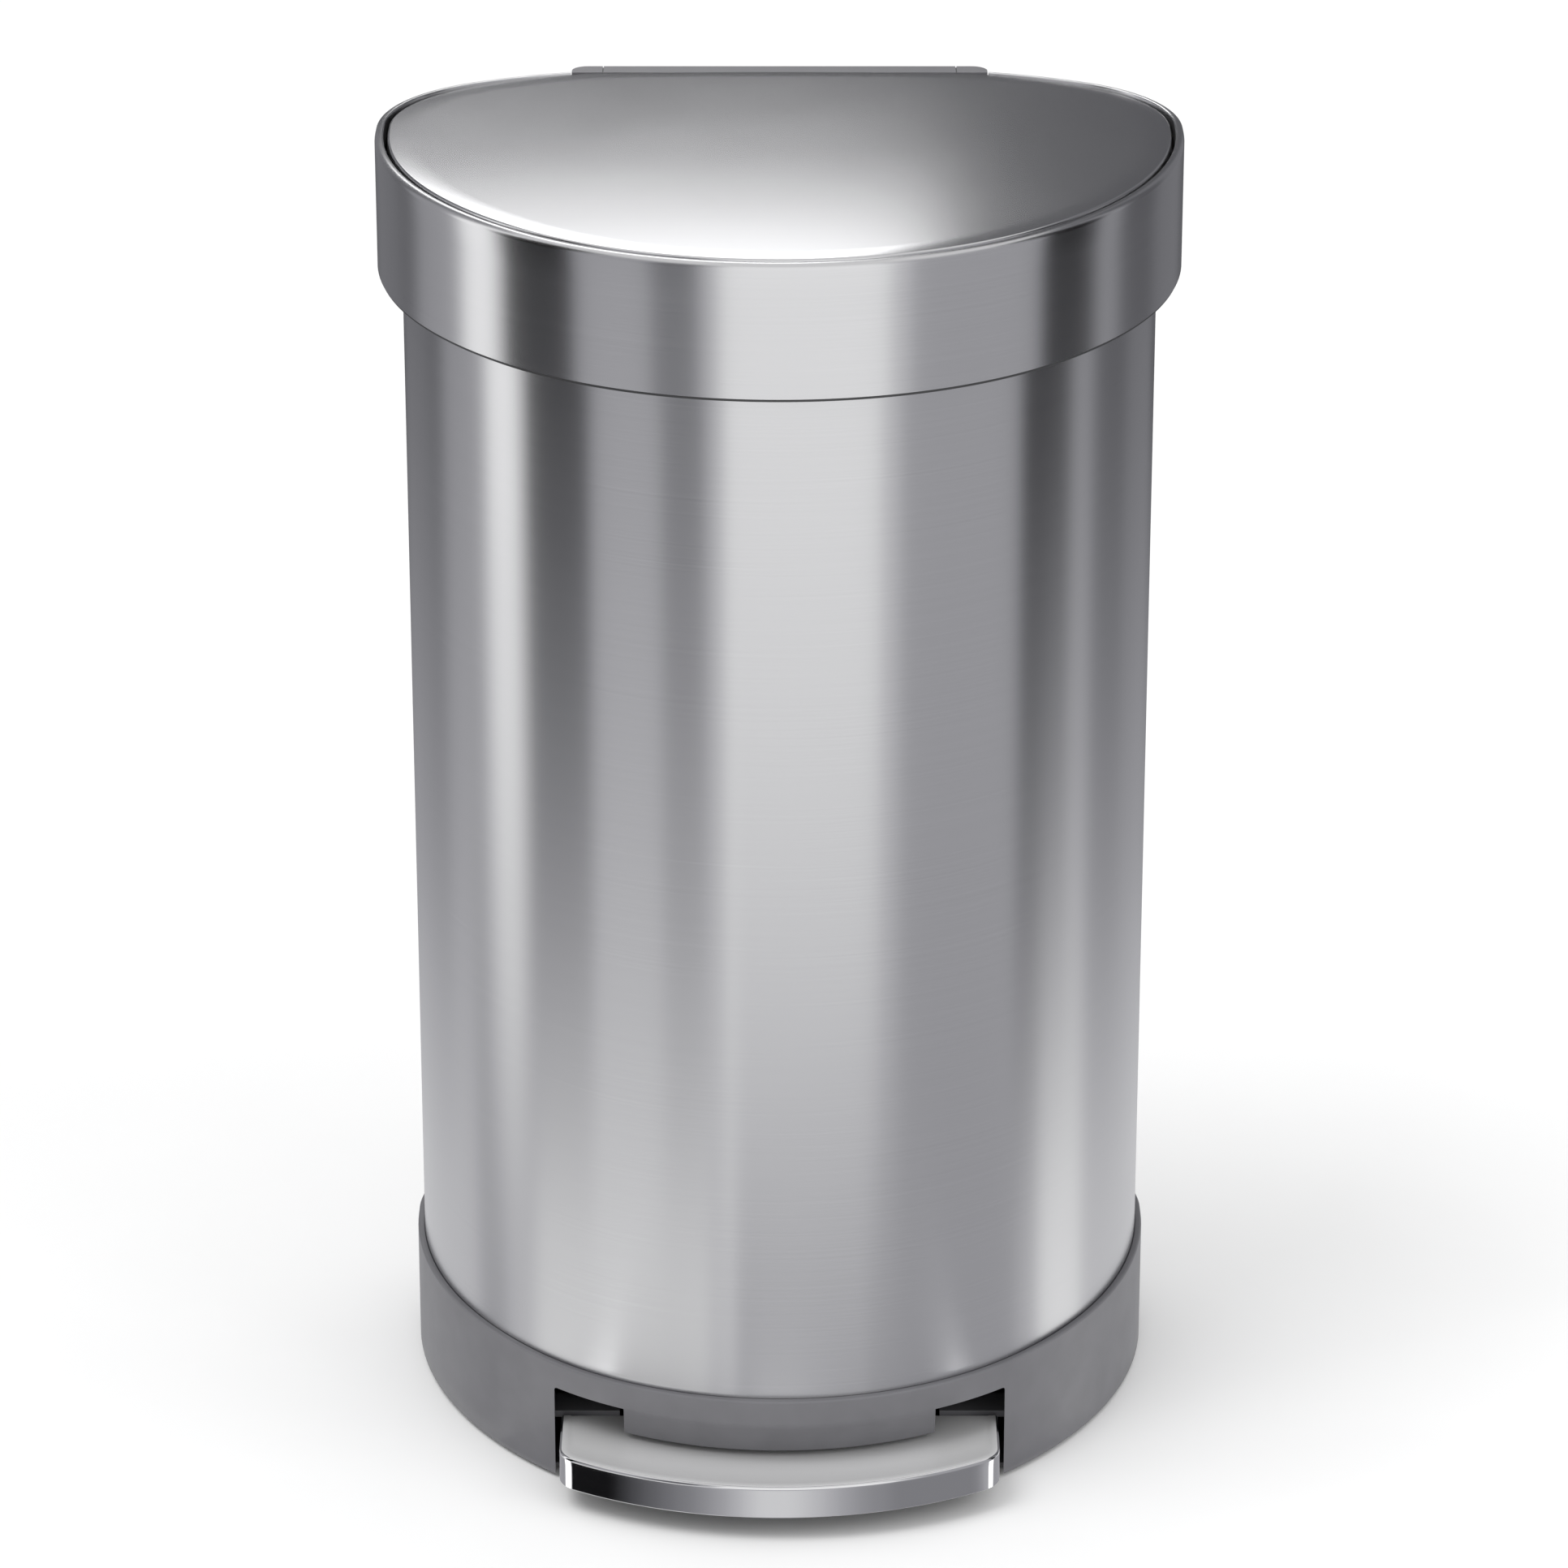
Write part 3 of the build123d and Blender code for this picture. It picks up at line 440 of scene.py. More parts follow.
# %% Make the apron
APRON_HALF = 77 * MM
APRON_TOP, SLOPE_TOP, APRON_BOTTOM = DOOR_TOP + 1.0 * MM, DOOR_TOP - 0.5 * MM, 34 * MM
APRON_IN = -4 * MM
APRON_WALL = 2.5 * MM
APRON_STEPS = 24


def front_point(grow, x, z):
    """Point on the front arc at a given growth, place across and height."""
    radius = FRONT_R + grow
    return (x, FRONT_Y - math.sqrt(radius * radius - x * x), z)


def make_apron():
    """Sheet that slopes inward from the top of the doorway and rolls under at its lower edge."""
    bm = bmesh.new()
    rows = [(PLINTH_OUT, APRON_TOP), (PLINTH_OUT, SLOPE_TOP)]
    slope = (PLINTH_OUT - APRON_IN) / (DOOR_TOP - APRON_BOTTOM)
    for z in subdivide_heights(SLOPE_TOP, APRON_BOTTOM, 6):
        rows.append((PLINTH_OUT - (DOOR_TOP - z) * slope, z))
    rows += bend((APRON_IN - APRON_WALL / 2, APRON_BOTTOM + 0.3 * MM), APRON_WALL / 2, 0, -180, 6)
    rows += [(APRON_IN - APRON_WALL, APRON_BOTTOM + 1 * MM), (PLINTH_IN, APRON_TOP)]
    across = [APRON_HALF * (i / APRON_STEPS - 1) for i in range(2 * APRON_STEPS + 1)]
    grid = [[bm.verts.new(front_point(grow, x, z)) for x in across] for grow, z in rows]
    for low, high in zip(grid, grid[1:] + grid[:1]):
        for i in range(len(across) - 1):
            bm.faces.new((low[i], low[i + 1], high[i + 1], high[i]))
    bm.faces.new([row[0] for row in grid])
    bm.faces.new([row[-1] for row in reversed(grid)])
    return finish_mesh("apron", bm)


apron = make_apron()
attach(apron, "can")
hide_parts("base_plinth")
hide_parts("base_plinth")
print("apron faces:", len(apron.data.polygons))

# %% Make the slot floors
SHELF_LOW, SHELF_HIGH = (80 * MM, WIDE_Y - 156 * MM, 27 * MM), (120 * MM, WIDE_Y - 137 * MM, 30.5 * MM)
slot_floors = mirrored_boxes("slot_floor", SHELF_LOW, SHELF_HIGH)
for shelf in slot_floors:
    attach(shelf, "can")
    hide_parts("base_plinth")
print("slot floors:", len(slot_floors))

# %% [markdown]
# ## The pedal
# The pedal is a bow of thick steel that follows the curve of the plinth: a satin tread and a bright
# turned-down front. It could be a swept strip, but its ends are rounded in plan and the edge rolls over
# on a small radius, so the plan is drawn once and shrunk step by step, the way a die would form it.

# %% Make the pedal cover
tread_low, tread_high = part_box("pedal_cover")
PEDAL_HALF = tread_high.x
PEDAL_TOP, PEDAL_BOTTOM = tread_high.z, tread_low.z
PEDAL_FRONT_R = FRONT_Y - tread_low.y
PEDAL_CORNER_R = 15 * MM
PEDAL_EDGE_R = 1.6 * MM
PEDAL_SHEET = 1.5 * MM
TREAD_BACK = tread_high.y
TREAD_IN = PEDAL_EDGE_R + 3.4 * MM
TREAD_DIP = 0.25 * MM
BEAD_WALL = 0.7 * MM
PEDAL_HEM = 0.5 * MM
LINING_IN = PEDAL_SHEET + 0.1 * MM
CORNER_STEPS, SIDE_STEPS, TREAD_STEPS = 10, 6, 6


def bow_front(inset):
    """Front line of the pedal from end to end, drawn in from its outside by inset."""
    radius = PEDAL_FRONT_R - inset
    half = PEDAL_HALF - inset
    corner = PEDAL_CORNER_R - inset
    corner_x = half - corner
    corner_y = FRONT_Y - math.sqrt((radius - corner) ** 2 - corner_x ** 2)
    lean = math.atan2(corner_y - FRONT_Y, corner_x)
    right = arc_xy(0, FRONT_Y, radius, math.radians(-90), lean)
    turns = [lean * (1 - i / CORNER_STEPS) for i in range(1, CORNER_STEPS + 1)]
    right += [(corner_x + corner * math.cos(t), corner_y + corner * math.sin(t)) for t in turns]
    right += [(half, corner_y + (TREAD_BACK - corner_y) * i / SIDE_STEPS) for i in range(1, SIDE_STEPS + 1)]
    return [(-x, y) for x, y in reversed(right[1:])] + right


def bow_back(inset, count):
    """Straight back line of the tread with as many points as the front line."""
    half = PEDAL_HALF - inset
    return [(half * (2 * i / (count - 1) - 1), TREAD_BACK) for i in range(count)]


def make_pedal_cover():
    """Tread, rolled edge, front flange and the inside of the sheet."""
    bm = bmesh.new()
    layer = bm.loops.layers.uv.new(MAP)
    count = len(bow_front(0))
    back, front = bow_back(TREAD_IN, count), bow_front(TREAD_IN)
    rows = []
    for share in [i / TREAD_STEPS for i in range(TREAD_STEPS + 1)]:
        rows.append([(bx + (fx - bx) * share, by + (fy - by) * share, PEDAL_TOP - TREAD_DIP)
                     for (bx, by), (fx, fy) in zip(back, front)])
    steps = [(TREAD_IN - BEAD_WALL, PEDAL_TOP), (PEDAL_EDGE_R, PEDAL_TOP)]
    for turn in (18, 36, 54, 72, 90):
        inset = PEDAL_EDGE_R * (1 - math.sin(math.radians(turn)))
        steps.append((inset, PEDAL_TOP - PEDAL_EDGE_R * (1 - math.cos(math.radians(turn)))))
    steps += [(0, z) for z in subdivide_heights(PEDAL_TOP - PEDAL_EDGE_R, PEDAL_BOTTOM + PEDAL_HEM, 5)]
    steps += [(0, PEDAL_BOTTOM + PEDAL_HEM), (PEDAL_HEM, PEDAL_BOTTOM), (PEDAL_SHEET, PEDAL_BOTTOM)]
    steps.append((LINING_IN, PEDAL_TOP - PEDAL_SHEET - 0.2 * MM))
    rows += [[(x, y, z) for x, y in bow_front(inset)] for inset, z in steps]
    rows.append([(x, y, PEDAL_TOP - PEDAL_SHEET) for x, y in bow_back(LINING_IN, count)])
    grid = [[bm.verts.new(p) for p in row] for row in rows]
    for low, high in zip(grid, grid[1:] + grid[:1]):
        for i in range(count - 1):
            bm.faces.new((low[i], low[i + 1], high[i + 1], high[i]))
    bm.faces.new([row[0] for row in grid])
    bm.faces.new([row[-1] for row in reversed(grid)])
    for face in bm.faces:
        for loop in face.loops:
            spot = loop.vert.co
            turn = math.atan2(spot.x, FRONT_Y - spot.y)
            loop[layer].uv = (turn * PEDAL_FRONT_R, spot.z + math.hypot(spot.x, spot.y - FRONT_Y))
    return finish_mesh("pedal_tread", bm)


pedal_tread = make_pedal_cover()
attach(pedal_tread, "pedal")
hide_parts("pedal_cover")
print("pedal faces:", len(pedal_tread.data.polygons))

# %% [markdown]
# ## Shared surface effects
# Real finishes are never even. Three effects come back on several pieces, so each is one node group with
# named sockets: brushed lines that run along the map's U, the fine grain of moulded plastic, and the
# faint patchiness that hands and cloths leave. The groups only put out masks and heights; every shader
# stays in its own material.

# %% Node helpers
def new_group(name, inputs, outputs):
    """Empty node group with float or vector sockets."""
    group = bpy.data.node_groups.new(name, "ShaderNodeTree")
    for label, kind, value in inputs:
        socket = group.interface.new_socket(label, in_out="INPUT", socket_type=kind)
        if value is not None:
            socket.default_value = value
    for label, kind in outputs:
        group.interface.new_socket(label, in_out="OUTPUT", socket_type=kind)
    return group, group.nodes.new("NodeGroupInput"), group.nodes.new("NodeGroupOutput")


def maths(tree, operation, first, second=None, third=None):
    """Math node; its arguments are sockets or plain numbers."""
    node = tree.nodes.new("ShaderNodeMath")
    node.operation = operation
    for slot, value in enumerate((first, second, third)):
        if value is None:
            continue
        if isinstance(value, (int, float)):
            node.inputs[slot].default_value = value
        else:
            tree.links.new(value, node.inputs[slot])
    return node.outputs[0]


def noise(tree, vector, scale, detail=3.0, roughness=0.5):
    """Noise texture's even value over a vector."""
    node = tree.nodes.new("ShaderNodeTexNoise")
    node.inputs["Scale"].default_value = scale
    node.inputs["Detail"].default_value = detail
    node.inputs["Roughness"].default_value = roughness
    tree.links.new(vector, node.inputs["Vector"])
    return node.outputs["Fac"]


def stretched(tree, vector, amounts):
    """Vector multiplied by a plain stretch."""
    node = tree.nodes.new("ShaderNodeVectorMath")
    node.operation = "MULTIPLY"
    node.inputs[1].default_value = amounts
    tree.links.new(vector, node.inputs[0])
    return node.outputs[0]


# %% Brushed lines group
def make_brush_group():
    """Lines along U: fine scratches over wider streaks."""
    group, source, sink = new_group(
        "brushed_lines",
        [("Vector", "NodeSocketVector", None), ("Depth", "NodeSocketFloat", 1.0)],
        [("Tone", "NodeSocketFloat"), ("Height", "NodeSocketFloat")])
    fine = noise(group, stretched(group, source.outputs["Vector"], (6, 3200, 6)), 1.0, 3.0, 0.6)
    wide = noise(group, stretched(group, source.outputs["Vector"], (1.2, 700, 1.2)), 1.0, 2.0, 0.5)
    both = maths(group, "MULTIPLY_ADD", wide, 0.3, maths(group, "MULTIPLY", fine, 0.7))
    centred = maths(group, "SUBTRACT", both, 0.5)
    deep = maths(group, "MULTIPLY", centred, source.outputs["Depth"])
    group.links.new(maths(group, "ADD", deep, 0.5), sink.inputs["Tone"])
    group.links.new(deep, sink.inputs["Height"])
    return group


brush_group = make_brush_group()

# %% Grain and handling groups
def make_grain_group():
    """Even spark-eroded grain of moulded plastic."""
    group, source, sink = new_group(
        "moulded_grain",
        [("Vector", "NodeSocketVector", None), ("Size", "NodeSocketFloat", 1.0)],
        [("Height", "NodeSocketFloat"), ("Mottle", "NodeSocketFloat")])
    scaled = group.nodes.new("ShaderNodeVectorMath")
    scaled.operation = "SCALE"
    group.links.new(source.outputs["Vector"], scaled.inputs[0])
    group.links.new(source.outputs["Size"], scaled.inputs["Scale"])
    group.links.new(noise(group, scaled.outputs[0], 1400, 2.0, 0.6), sink.inputs["Height"])
    group.links.new(noise(group, scaled.outputs[0], 60, 3.0, 0.5), sink.inputs["Mottle"])
    return group


def make_handling_group():
    """Large soft patches from hands and cloths, from 0 to 1."""
    group, source, sink = new_group(
        "handling",
        [("Vector", "NodeSocketVector", None), ("Cover", "NodeSocketFloat", 0.5)],
        [("Patches", "NodeSocketFloat")])
    soft = noise(group, source.outputs["Vector"], 9.0, 4.0, 0.6)
    spread = maths(group, "MULTIPLY_ADD", maths(group, "SUBTRACT", soft, 0.5), 2.0, source.outputs["Cover"])
    spread.node.use_clamp = True
    group.links.new(spread, sink.inputs["Patches"])
    return group


grain_group = make_grain_group()
handling_group = make_handling_group()
print("groups:", [group.name for group in bpy.data.node_groups])

# %% [markdown]
# ## Steel
# Brushing scratches the steel in one direction, so its highlights stretch across the scratches: on the
# upright walls every reflection becomes a tall soft band. Bump alone can't do that at this size, so the
# shader is anisotropic along the map, and the line texture only varies tone and roughness a little.

# %% Steel materials
def start_material(name):
    """New material with its Principled shader and tree."""
    material = bpy.data.materials.new(name)
    material.use_nodes = True
    tree = material.node_tree
    return material, tree, tree.nodes["Principled BSDF"]


def place(tree, group, **values):
    """Puts a group in a material and sets its plain inputs."""
    node = tree.nodes.new("ShaderNodeGroup")
    node.node_tree = group
    for label, value in values.items():
        node.inputs[label].default_value = value
    return node


def mix_colours(tree, factor, first, second):
    """Colour between two plain colours by a factor socket."""
    node = tree.nodes.new("ShaderNodeMix")
    node.data_type = "RGBA"
    tree.links.new(factor, node.inputs["Factor"])
    for label, value in (("A", first), ("B", second)):
        socket = [s for s in node.inputs if s.name == label and s.type == "RGBA"][0]
        socket.default_value = (*value, 1)
    return [s for s in node.outputs if s.type == "RGBA"][0]


def bumped(tree, shader, height, strength, distance):
    """Feeds a height through a Bump node to the shader's normal."""
    node = tree.nodes.new("ShaderNodeBump")
    node.inputs["Strength"].default_value = strength
    node.inputs["Distance"].default_value = distance
    tree.links.new(height, node.inputs["Height"])
    tree.links.new(node.outputs["Normal"], shader.inputs["Normal"])


def ramp_value(tree, factor, low, high):
    """Number that runs from low to high with a factor from 0 to 1."""
    return maths(tree, "MULTIPLY_ADD", factor, high - low, low)


HAND_WEAR, LINE_WEAR = 0.02, 0.06
BRUSH_STRENGTH, BRUSH_DEPTH = 0.05, 0.03 * MM


def brushed_steel(name, dark, light, rough, depth=1.0, stretch=0.85):
    """Brushed stainless, with scratches along the map's U."""
    material, tree, shader = start_material(name)
    place_map = tree.nodes.new("ShaderNodeUVMap")
    place_map.uv_map = MAP
    lines = place(tree, brush_group, Depth=depth)
    tree.links.new(place_map.outputs["UV"], lines.inputs["Vector"])
    spot = tree.nodes.new("ShaderNodeTexCoord")
    hands = place(tree, handling_group, Cover=0.45)
    tree.links.new(spot.outputs["Object"], hands.inputs["Vector"])
    shader.inputs["Metallic"].default_value = 1.0
    shader.inputs["Anisotropic"].default_value = stretch
    shader.inputs["Anisotropic Rotation"].default_value = 0.25
    along = tree.nodes.new("ShaderNodeTangent")
    along.direction_type = "UV_MAP"
    along.uv_map = MAP
    tree.links.new(along.outputs["Tangent"], shader.inputs["Tangent"])
    tree.links.new(mix_colours(tree, lines.outputs["Tone"], dark, light), shader.inputs["Base Color"])
    handled = maths(tree, "MULTIPLY_ADD", hands.outputs["Patches"], HAND_WEAR, rough - HAND_WEAR / 2)
    base = maths(tree, "SUBTRACT", handled, LINE_WEAR / 2)
    worn = maths(tree, "MULTIPLY_ADD", lines.outputs["Tone"], LINE_WEAR, base)
    tree.links.new(worn, shader.inputs["Roughness"])
    bumped(tree, shader, lines.outputs["Height"], BRUSH_STRENGTH, BRUSH_DEPTH)
    return material


steel_body = brushed_steel("brushed_steel", (0.58, 0.58, 0.59), (0.68, 0.68, 0.69), 0.25)
steel_lid = brushed_steel("brushed_lid_steel", (0.60, 0.60, 0.61), (0.67, 0.67, 0.68), 0.20,
                          depth=0.3, stretch=0.4)
steel_tread = brushed_steel("tread_steel", (0.62, 0.62, 0.625), (0.70, 0.70, 0.705), 0.42,
                            depth=0.6, stretch=0.2)
steel_tread.node_tree.nodes["Principled BSDF"].inputs["Metallic"].default_value = 0.25
steel_pedal = brushed_steel("pedal_steel", (0.66, 0.66, 0.67), (0.70, 0.70, 0.71), 0.08,
                            depth=0.3, stretch=0.3)
print("steels:", steel_body.name, steel_lid.name, steel_tread.name, steel_pedal.name)

# %% [markdown]
# ## Plastics, rubber and small metal
# The plinth is a cool grey satin moulding; the frames inside are darker and plainer. They share one
# recipe with different colours, so a single function makes them all.

# %% Plastic and small metal materials
GRAIN_DEPTH = 0.2 * MM
POLISHED, SCUFFED = -0.05, 0.07
METAL_SCUFFED, METAL_DULL = 0.15, 0.82


def moulded(name, colour, rough, grain=0.15, size=1.0, mottle=0.12):
    """Moulded plastic or rubber with fine grain and faint patches."""
    material, tree, shader = start_material(name)
    spot = tree.nodes.new("ShaderNodeTexCoord")
    grains = place(tree, grain_group, Size=size)
    hands = place(tree, handling_group, Cover=0.4)
    for node in (grains, hands):
        tree.links.new(spot.outputs["Object"], node.inputs["Vector"])
    low = tuple(c * (1 - mottle) for c in colour)
    high = tuple(min(1.0, c * (1 + mottle)) for c in colour)
    tree.links.new(mix_colours(tree, grains.outputs["Mottle"], low, high), shader.inputs["Base Color"])
    worn = ramp_value(tree, hands.outputs["Patches"], rough + POLISHED, rough + SCUFFED)
    tree.links.new(worn, shader.inputs["Roughness"])
    bumped(tree, shader, grains.outputs["Height"], grain, GRAIN_DEPTH)
    return material


def small_metal(name, colour, rough):
    """Plated or ground metal of the hidden pieces."""
    material, tree, shader = start_material(name)
    spot = tree.nodes.new("ShaderNodeTexCoord")
    hands = place(tree, handling_group, Cover=0.5)
    tree.links.new(spot.outputs["Object"], hands.inputs["Vector"])
    shader.inputs["Metallic"].default_value = 1.0
    dull = tuple(c * METAL_DULL for c in colour)
    tree.links.new(mix_colours(tree, hands.outputs["Patches"], colour, dull), shader.inputs["Base Color"])
    worn = ramp_value(tree, hands.outputs["Patches"], rough, rough + METAL_SCUFFED)
    tree.links.new(worn, shader.inputs["Roughness"])
    return material


FINISHES = {
    "brushed_steel": steel_body,
    "pedal_steel": steel_pedal,
    "grey_plastic": moulded("grey_plastic", (0.150, 0.149, 0.160), 0.42),
    "dark_plastic": moulded("dark_plastic", (0.035, 0.035, 0.037), 0.45),
    "inner_plastic": moulded("inner_plastic", (0.09, 0.09, 0.095), 0.5),
    "bearing_plastic": moulded("bearing_plastic", (0.72, 0.70, 0.64), 0.35, grain=0.05),
    "rubber": moulded("rubber", (0.02, 0.02, 0.02), 0.75, grain=0.3, size=0.7),
    "zinc_steel": small_metal("zinc_steel", (0.62, 0.63, 0.65), 0.32),
    "bright_pin": small_metal("bright_pin", (0.78, 0.78, 0.80), 0.16),
    "damper_metal": small_metal("damper_metal", (0.70, 0.70, 0.72), 0.28),
}
print("finishes:", sorted(FINISHES))

# %% [markdown]
# ## Dressing the pieces
# Each solid of the frame names its finish in the record, so the small pieces are dressed in one loop.
# The rebuilt skins are dressed by name. The pedal is one piece of steel with two finishes: its flat tread
# and the bead round it are satin, and the rolled edge and the front are bright.

# %% Assign the finishes
def dress(piece, material):
    """Gives a piece one material."""
    piece.data.materials.clear()
    piece.data.materials.append(material)


for part in frame["record"]["subparts"]:
    node = frame["nodes"][part["node"]]
    dress(node, FINISHES[part["material_slot"]])
# The dark strip under the band is painted shade, dressed in dark plastic.
for piece, material in ((shell_skin, steel_body), (rim_skin, steel_body), (lid_top, steel_lid),
                        (pedal_tread, steel_pedal), (plinth, FINISHES["grey_plastic"]),
                        (apron, FINISHES["grey_plastic"]), (shade_strip, FINISHES["dark_plastic"]),
                        *((shelf, FINISHES["grey_plastic"]) for shelf in slot_floors),
                        # The dark sheets in the hinge gaps are painted shade, dressed in dark plastic.
                        *((gap_shade, FINISHES["dark_plastic"]) for gap_shade in hinge_gap_shades)):
    dress(piece, material)
pedal_tread.data.materials.append(steel_tread)
FACES_UP = 0.9
TREAD_FLOOR = PEDAL_TOP - 1.5 * TREAD_DIP
for face in pedal_tread.data.polygons:
    face.material_index = 1 if face.normal.z > FACES_UP and face.center.z > TREAD_FLOOR else 0
print("dressed", len(frame["nodes"]), "solids")

# %% [markdown]
# ## Floor
# A plain pale floor, large enough that its edge never shows, with just enough tooth to hold a soft
# shadow.

# %% Make the floor
FLOOR_SIZE, FLOOR_CELLS = 14.0, 8
FLOOR_DARK, FLOOR_LIGHT = (0.91, 0.91, 0.91), (0.93, 0.93, 0.93)


def make_floor():
    """Flat pale floor that fades into the background."""
    bm = bmesh.new()
    bmesh.ops.create_grid(bm, x_segments=FLOOR_CELLS, y_segments=FLOOR_CELLS, size=FLOOR_SIZE)
    floor = finish_mesh("floor", bm)
    material, tree, shader = start_material("floor_paint")
    spot = tree.nodes.new("ShaderNodeTexCoord")
    grains = place(tree, grain_group, Size=0.2)
    tree.links.new(spot.outputs["Object"], grains.inputs["Vector"])
    tone = mix_colours(tree, grains.outputs["Mottle"], FLOOR_DARK, FLOOR_LIGHT)
    tree.links.new(tone, shader.inputs["Base Color"])
    shader.inputs["Roughness"].default_value = 0.9
    dress(floor, material)
    print("floor faces:", len(floor.data.polygons))


make_floor()

# %% [markdown]
# ## Studio
# Steel shows its surroundings more than itself, so the studio is built for the reflections. A round wall
# of cards would do, but then every edge of a card has to be found by trial. Here each card fans out along
# the lines of sight that the shell mirrors: we say which way the wall of the bin faces where the card
# should begin and end, and its edges come out upright on the steel. The outer fan shows in the rim and
# the upper half of the shell, the inner fan lies on the floor and shows in the lower half. Only glossy
# surfaces see the cards; one broad sun and a soft area light do the real lighting and throw the shadow.

# %% Studio levels
FAN_STEP = 1.0
EDGE_SOFT, PEDAL_SOFT = 1.6, 2.8
OUTER_FAN = [(-90, 0.12), (-82, 0.20), (-70, 0.15), (-64.5, 0.40), (-53.8, 1.35), (-46.8, 0.0), (-32.5, 0.46),
             (-19.5, 0.18), (-12, 0.6), (-9.2, 1.15), (16.8, 0.75), (20.2, 0.47), (43.4, 0.0), (53.5, 0.40),
             (58.5, 0.13), (68, 0.22), (80, 0.12)]
INNER_FAN = [(-90, 0.72), (-59, 0.45), (-52.4, 0.70), (-47, 1.0), (-12.4, 0.80), (-7.5, 0.52),
             (15.2, 0.45), (44.7, 0.60), (49.2, 1.12), (58.8, 0.75)]
PEDAL_FAN = [(-90, 0.42), (-52, 2.4), (-37, 0.01), (-24, 0.07), (-21.5, 0.13), (-19, 0.19), (-16.5, 0.25),
             (-14, 0.31), (-11.5, 0.40), (-9, 0.52), (-6.5, 0.68), (-4, 0.84), (2.5, 0.76), (5, 0.64),
             (7.5, 0.52), (10, 0.42), (12.5, 0.35), (16, 0.29), (31, 0.5), (39, 2.4), (50, 0.42)]
INNER_SHARE = [(0.02, 1.0), (0.25, 1.0), (0.37, 0.85), (0.53, 0.68), (0.70, 0.46), (0.90, 0.33),
               (1.10, 0.22), (1.35, 0.11), (1.60, 0.0), (2.4, 0.0)]


def fan_level(fan, facing, soft=EDGE_SOFT):
    """Level of a fan at a facing, with a soft change at each border."""
    level = fan[0][1]
    for border, after in fan[1:]:
        share = min(1.0, max(0.0, (facing - border) / soft + 0.5))
        level += (after - level) * share
    return level


print("borders:", len(OUTER_FAN) + len(INNER_FAN) + len(PEDAL_FAN))

# %% Places that mirror
def shell_spot(facing):
    """Place on the shell whose wall faces a bearing; 0 is the front, 90 the right."""
    turn = math.radians(abs(facing))
    if turn < FRONT_TURN:
        x, y = FRONT_R * math.sin(turn), FRONT_Y - FRONT_R * math.cos(turn)
    else:
        x, y = HALF_WIDTH - FLANK_R + FLANK_R * math.sin(turn), WIDE_Y - FLANK_R * math.cos(turn)
    return math.copysign(x, facing), y


def pedal_spot(facing):
    """Place on the pedal's front whose steel faces a bearing."""
    corner_x = PEDAL_HALF - PEDAL_CORNER_R
    reach = PEDAL_FRONT_R - PEDAL_CORNER_R
    lean = math.asin(corner_x / reach)
    turn = math.radians(abs(facing))
    if turn < lean:
        x, y = PEDAL_FRONT_R * math.sin(turn), FRONT_Y - PEDAL_FRONT_R * math.cos(turn)
    else:
        x = corner_x + PEDAL_CORNER_R * math.sin(turn)
        y = FRONT_Y - reach * math.cos(lean) - PEDAL_CORNER_R * math.cos(turn)
    return math.copysign(x, facing), y


# %% Glowing cards
def glow_material():
    """Card paint that glows by the level stored in the mesh."""
    material, tree, shader = start_material("card_glow")
    tree.nodes.remove(shader)
    level = tree.nodes.new("ShaderNodeAttribute")
    level.attribute_name = "level"
    glow = tree.nodes.new("ShaderNodeEmission")
    tree.links.new(level.outputs["Color"], glow.inputs["Color"])
    tree.links.new(glow.outputs[0], tree.nodes["Material Output"].inputs["Surface"])
    return material


card_glow = glow_material()
COOL_TINT = 0.035
BLUE_SHARE = 1.5


def glossy_card(name, rows, levels):
    """Card through rows of points with a level at each, seen only in reflections."""
    bm = bmesh.new()
    layer = bm.verts.layers.float_color.new("level")
    grid = []
    for row, row_levels in zip(rows, levels):
        verts = [bm.verts.new(point) for point in row]
        for vert, level in zip(verts, row_levels):
            tint = COOL_TINT * level * max(0.0, 1.0 - level)
            vert[layer] = (level - tint, level - tint, level + BLUE_SHARE * tint, 1.0)
        grid.append(verts)
    for left, right in zip(grid, grid[1:]):
        for k in range(len(left) - 1):
            bm.faces.new((left[k], right[k], right[k + 1], left[k + 1]))
    card = finish_mesh(name, bm)
    dress(card, card_glow)
    for flag in ("visible_camera", "visible_diffuse", "visible_shadow", "visible_transmission"):
        setattr(card, flag, False)
    print(name, "faces:", len(card.data.polygons))


def fan_points(spot, facing, reaches, lift):
    """Points along the sight line that is mirrored at a facing."""
    x, y = spot(facing)
    way = math.radians(2 * facing)
    return [(x + reach * math.sin(way), y - reach * math.cos(way), lift) for reach in reaches]


# %% Place the cards
WALL_TOP = 3.2
CARD_LIFT, PEDAL_LIFT = 3 * MM, 4.2 * MM
PEDAL_REACHES = (12 * MM, 68 * MM)
BACK_LEVEL = 0.10
facings = [FAN_STEP * i - 90 for i in range(round(180 / FAN_STEP) + 1)]
reaches = [reach for reach, share in INNER_SHARE]
fan_rows, fan_levels = [], []
for facing in facings:
    row = fan_points(shell_spot, facing, reaches, CARD_LIFT)
    inner, outer = fan_level(INNER_FAN, facing), fan_level(OUTER_FAN, facing)
    fan_rows.append(row + [(row[-1][0], row[-1][1], WALL_TOP)])
    fan_levels.append([outer + (inner - outer) * share for reach, share in INNER_SHARE] + [outer])
glossy_card("shell_cards", fan_rows, fan_levels)
pedal_rows = [fan_points(pedal_spot, facing, PEDAL_REACHES, PEDAL_LIFT) for facing in facings]
glossy_card("pedal_cards", pedal_rows, [[fan_level(PEDAL_FAN, facing, PEDAL_SOFT)] * 2 for facing in facings])
back_rows = [[(x, reaches[-1] + WIDE_Y, z) for z in (0, WALL_TOP)] for x in (-HALF_WIDTH, HALF_WIDTH)]
glossy_card("back_card", back_rows, [[BACK_LEVEL] * 2] * 2)

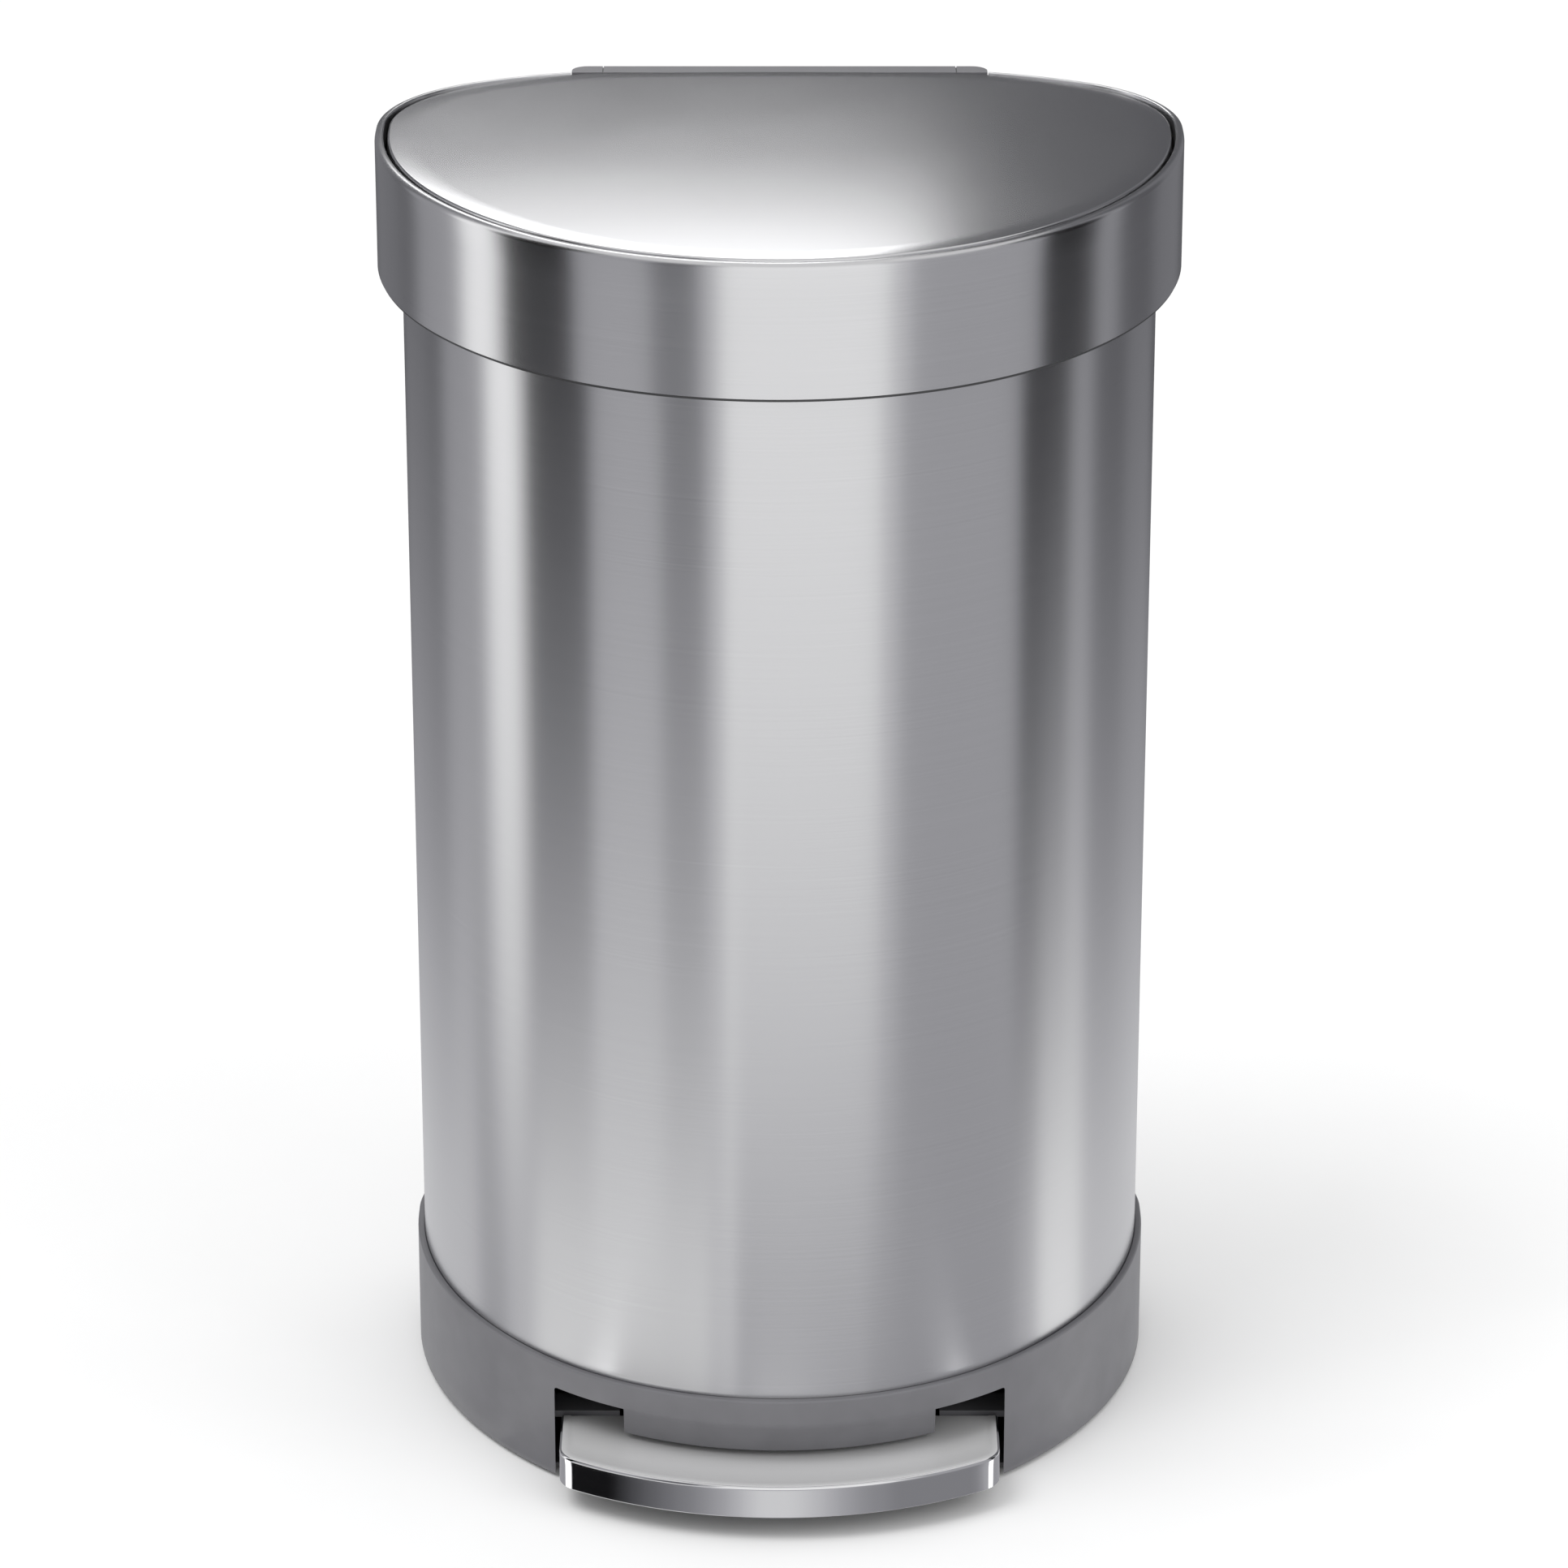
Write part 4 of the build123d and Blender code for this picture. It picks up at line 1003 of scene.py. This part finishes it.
# %% Card for the lid
LID_CARD_Y = 2.3
LID_CARD_RISE = math.radians(21.2)
LID_CARD_LOW = 0.65 + LID_CARD_Y * math.tan(LID_CARD_RISE)
LID_CARD_ENDS = (-1.8, 0.16)
LID_LEVEL = 2.6
lid_rows = [[(x, LID_CARD_Y, z) for z in (LID_CARD_LOW, WALL_TOP)] for x in LID_CARD_ENDS]
glossy_card("lid_card", lid_rows, [[LID_LEVEL] * 2] * 2)

# %% Lights
SUN_WAY, SUN_ANGLE, SUN_POWER = Vector((0.55, 0.30, -1.2)), math.radians(30), 0.9
FILL_PLACE, FILL_SIZE, FILL_POWER = Vector((1.8, -1.3, 1.2)), 1.6, 13
MIDDLE = Vector((0, 0, 0.3))
WORLD_LEVEL = 0.88


def aimed_light(name, kind, way, power):
    """Light that shines along a direction and isn't seen in the steel."""
    data = bpy.data.lights.new(name, kind)
    data.energy = power
    lamp = bpy.data.objects.new(name, data)
    lamp.rotation_euler = way.to_track_quat("-Z", "Y").to_euler()
    lamp.visible_glossy = False
    bpy.context.scene.collection.objects.link(lamp)
    return lamp


sun = aimed_light("key_light", "SUN", SUN_WAY, SUN_POWER)
sun.data.angle = SUN_ANGLE
fill = aimed_light("fill_light", "AREA", MIDDLE - FILL_PLACE, FILL_POWER)
fill.location = FILL_PLACE
fill.data.shape = "SQUARE"
fill.data.size = FILL_SIZE
world = bpy.data.worlds.new("studio")
world.use_nodes = True
world.node_tree.nodes["Background"].inputs["Color"].default_value = (1, 1, 1, 1)
world.node_tree.nodes["Background"].inputs["Strength"].default_value = WORLD_LEVEL
bpy.context.scene.world = world
bpy.context.scene.view_settings.view_transform = "Standard"
print("lights:", sun.name, fill.name)

# %% [markdown]
# ## Camera
# A long lens from a standing eye height, looking down on the front of the bin. No shift and no depth of
# field, so every other view of the bin stays sharp and centred.

# %% Make the camera
LENS, SENSOR = 145.55, 36
PITCH = math.radians(22.28)
CAMERA_X = 2.2 * MM
CAMERA_BACK = 2.9718
CAMERA_HEIGHT = 1.5229
camera_data = bpy.data.cameras.new("camera")
camera_data.lens = LENS
camera_data.sensor_width = SENSOR
camera = bpy.data.objects.new("camera", camera_data)
camera.location = (CAMERA_X, WIDE_Y - CAMERA_BACK, CAMERA_HEIGHT)
camera.rotation_euler = (math.radians(90) - PITCH, 0, 0)
bpy.context.scene.collection.objects.link(camera)
bpy.context.scene.camera = camera
print("camera at", [round(value, 3) for value in camera.location])
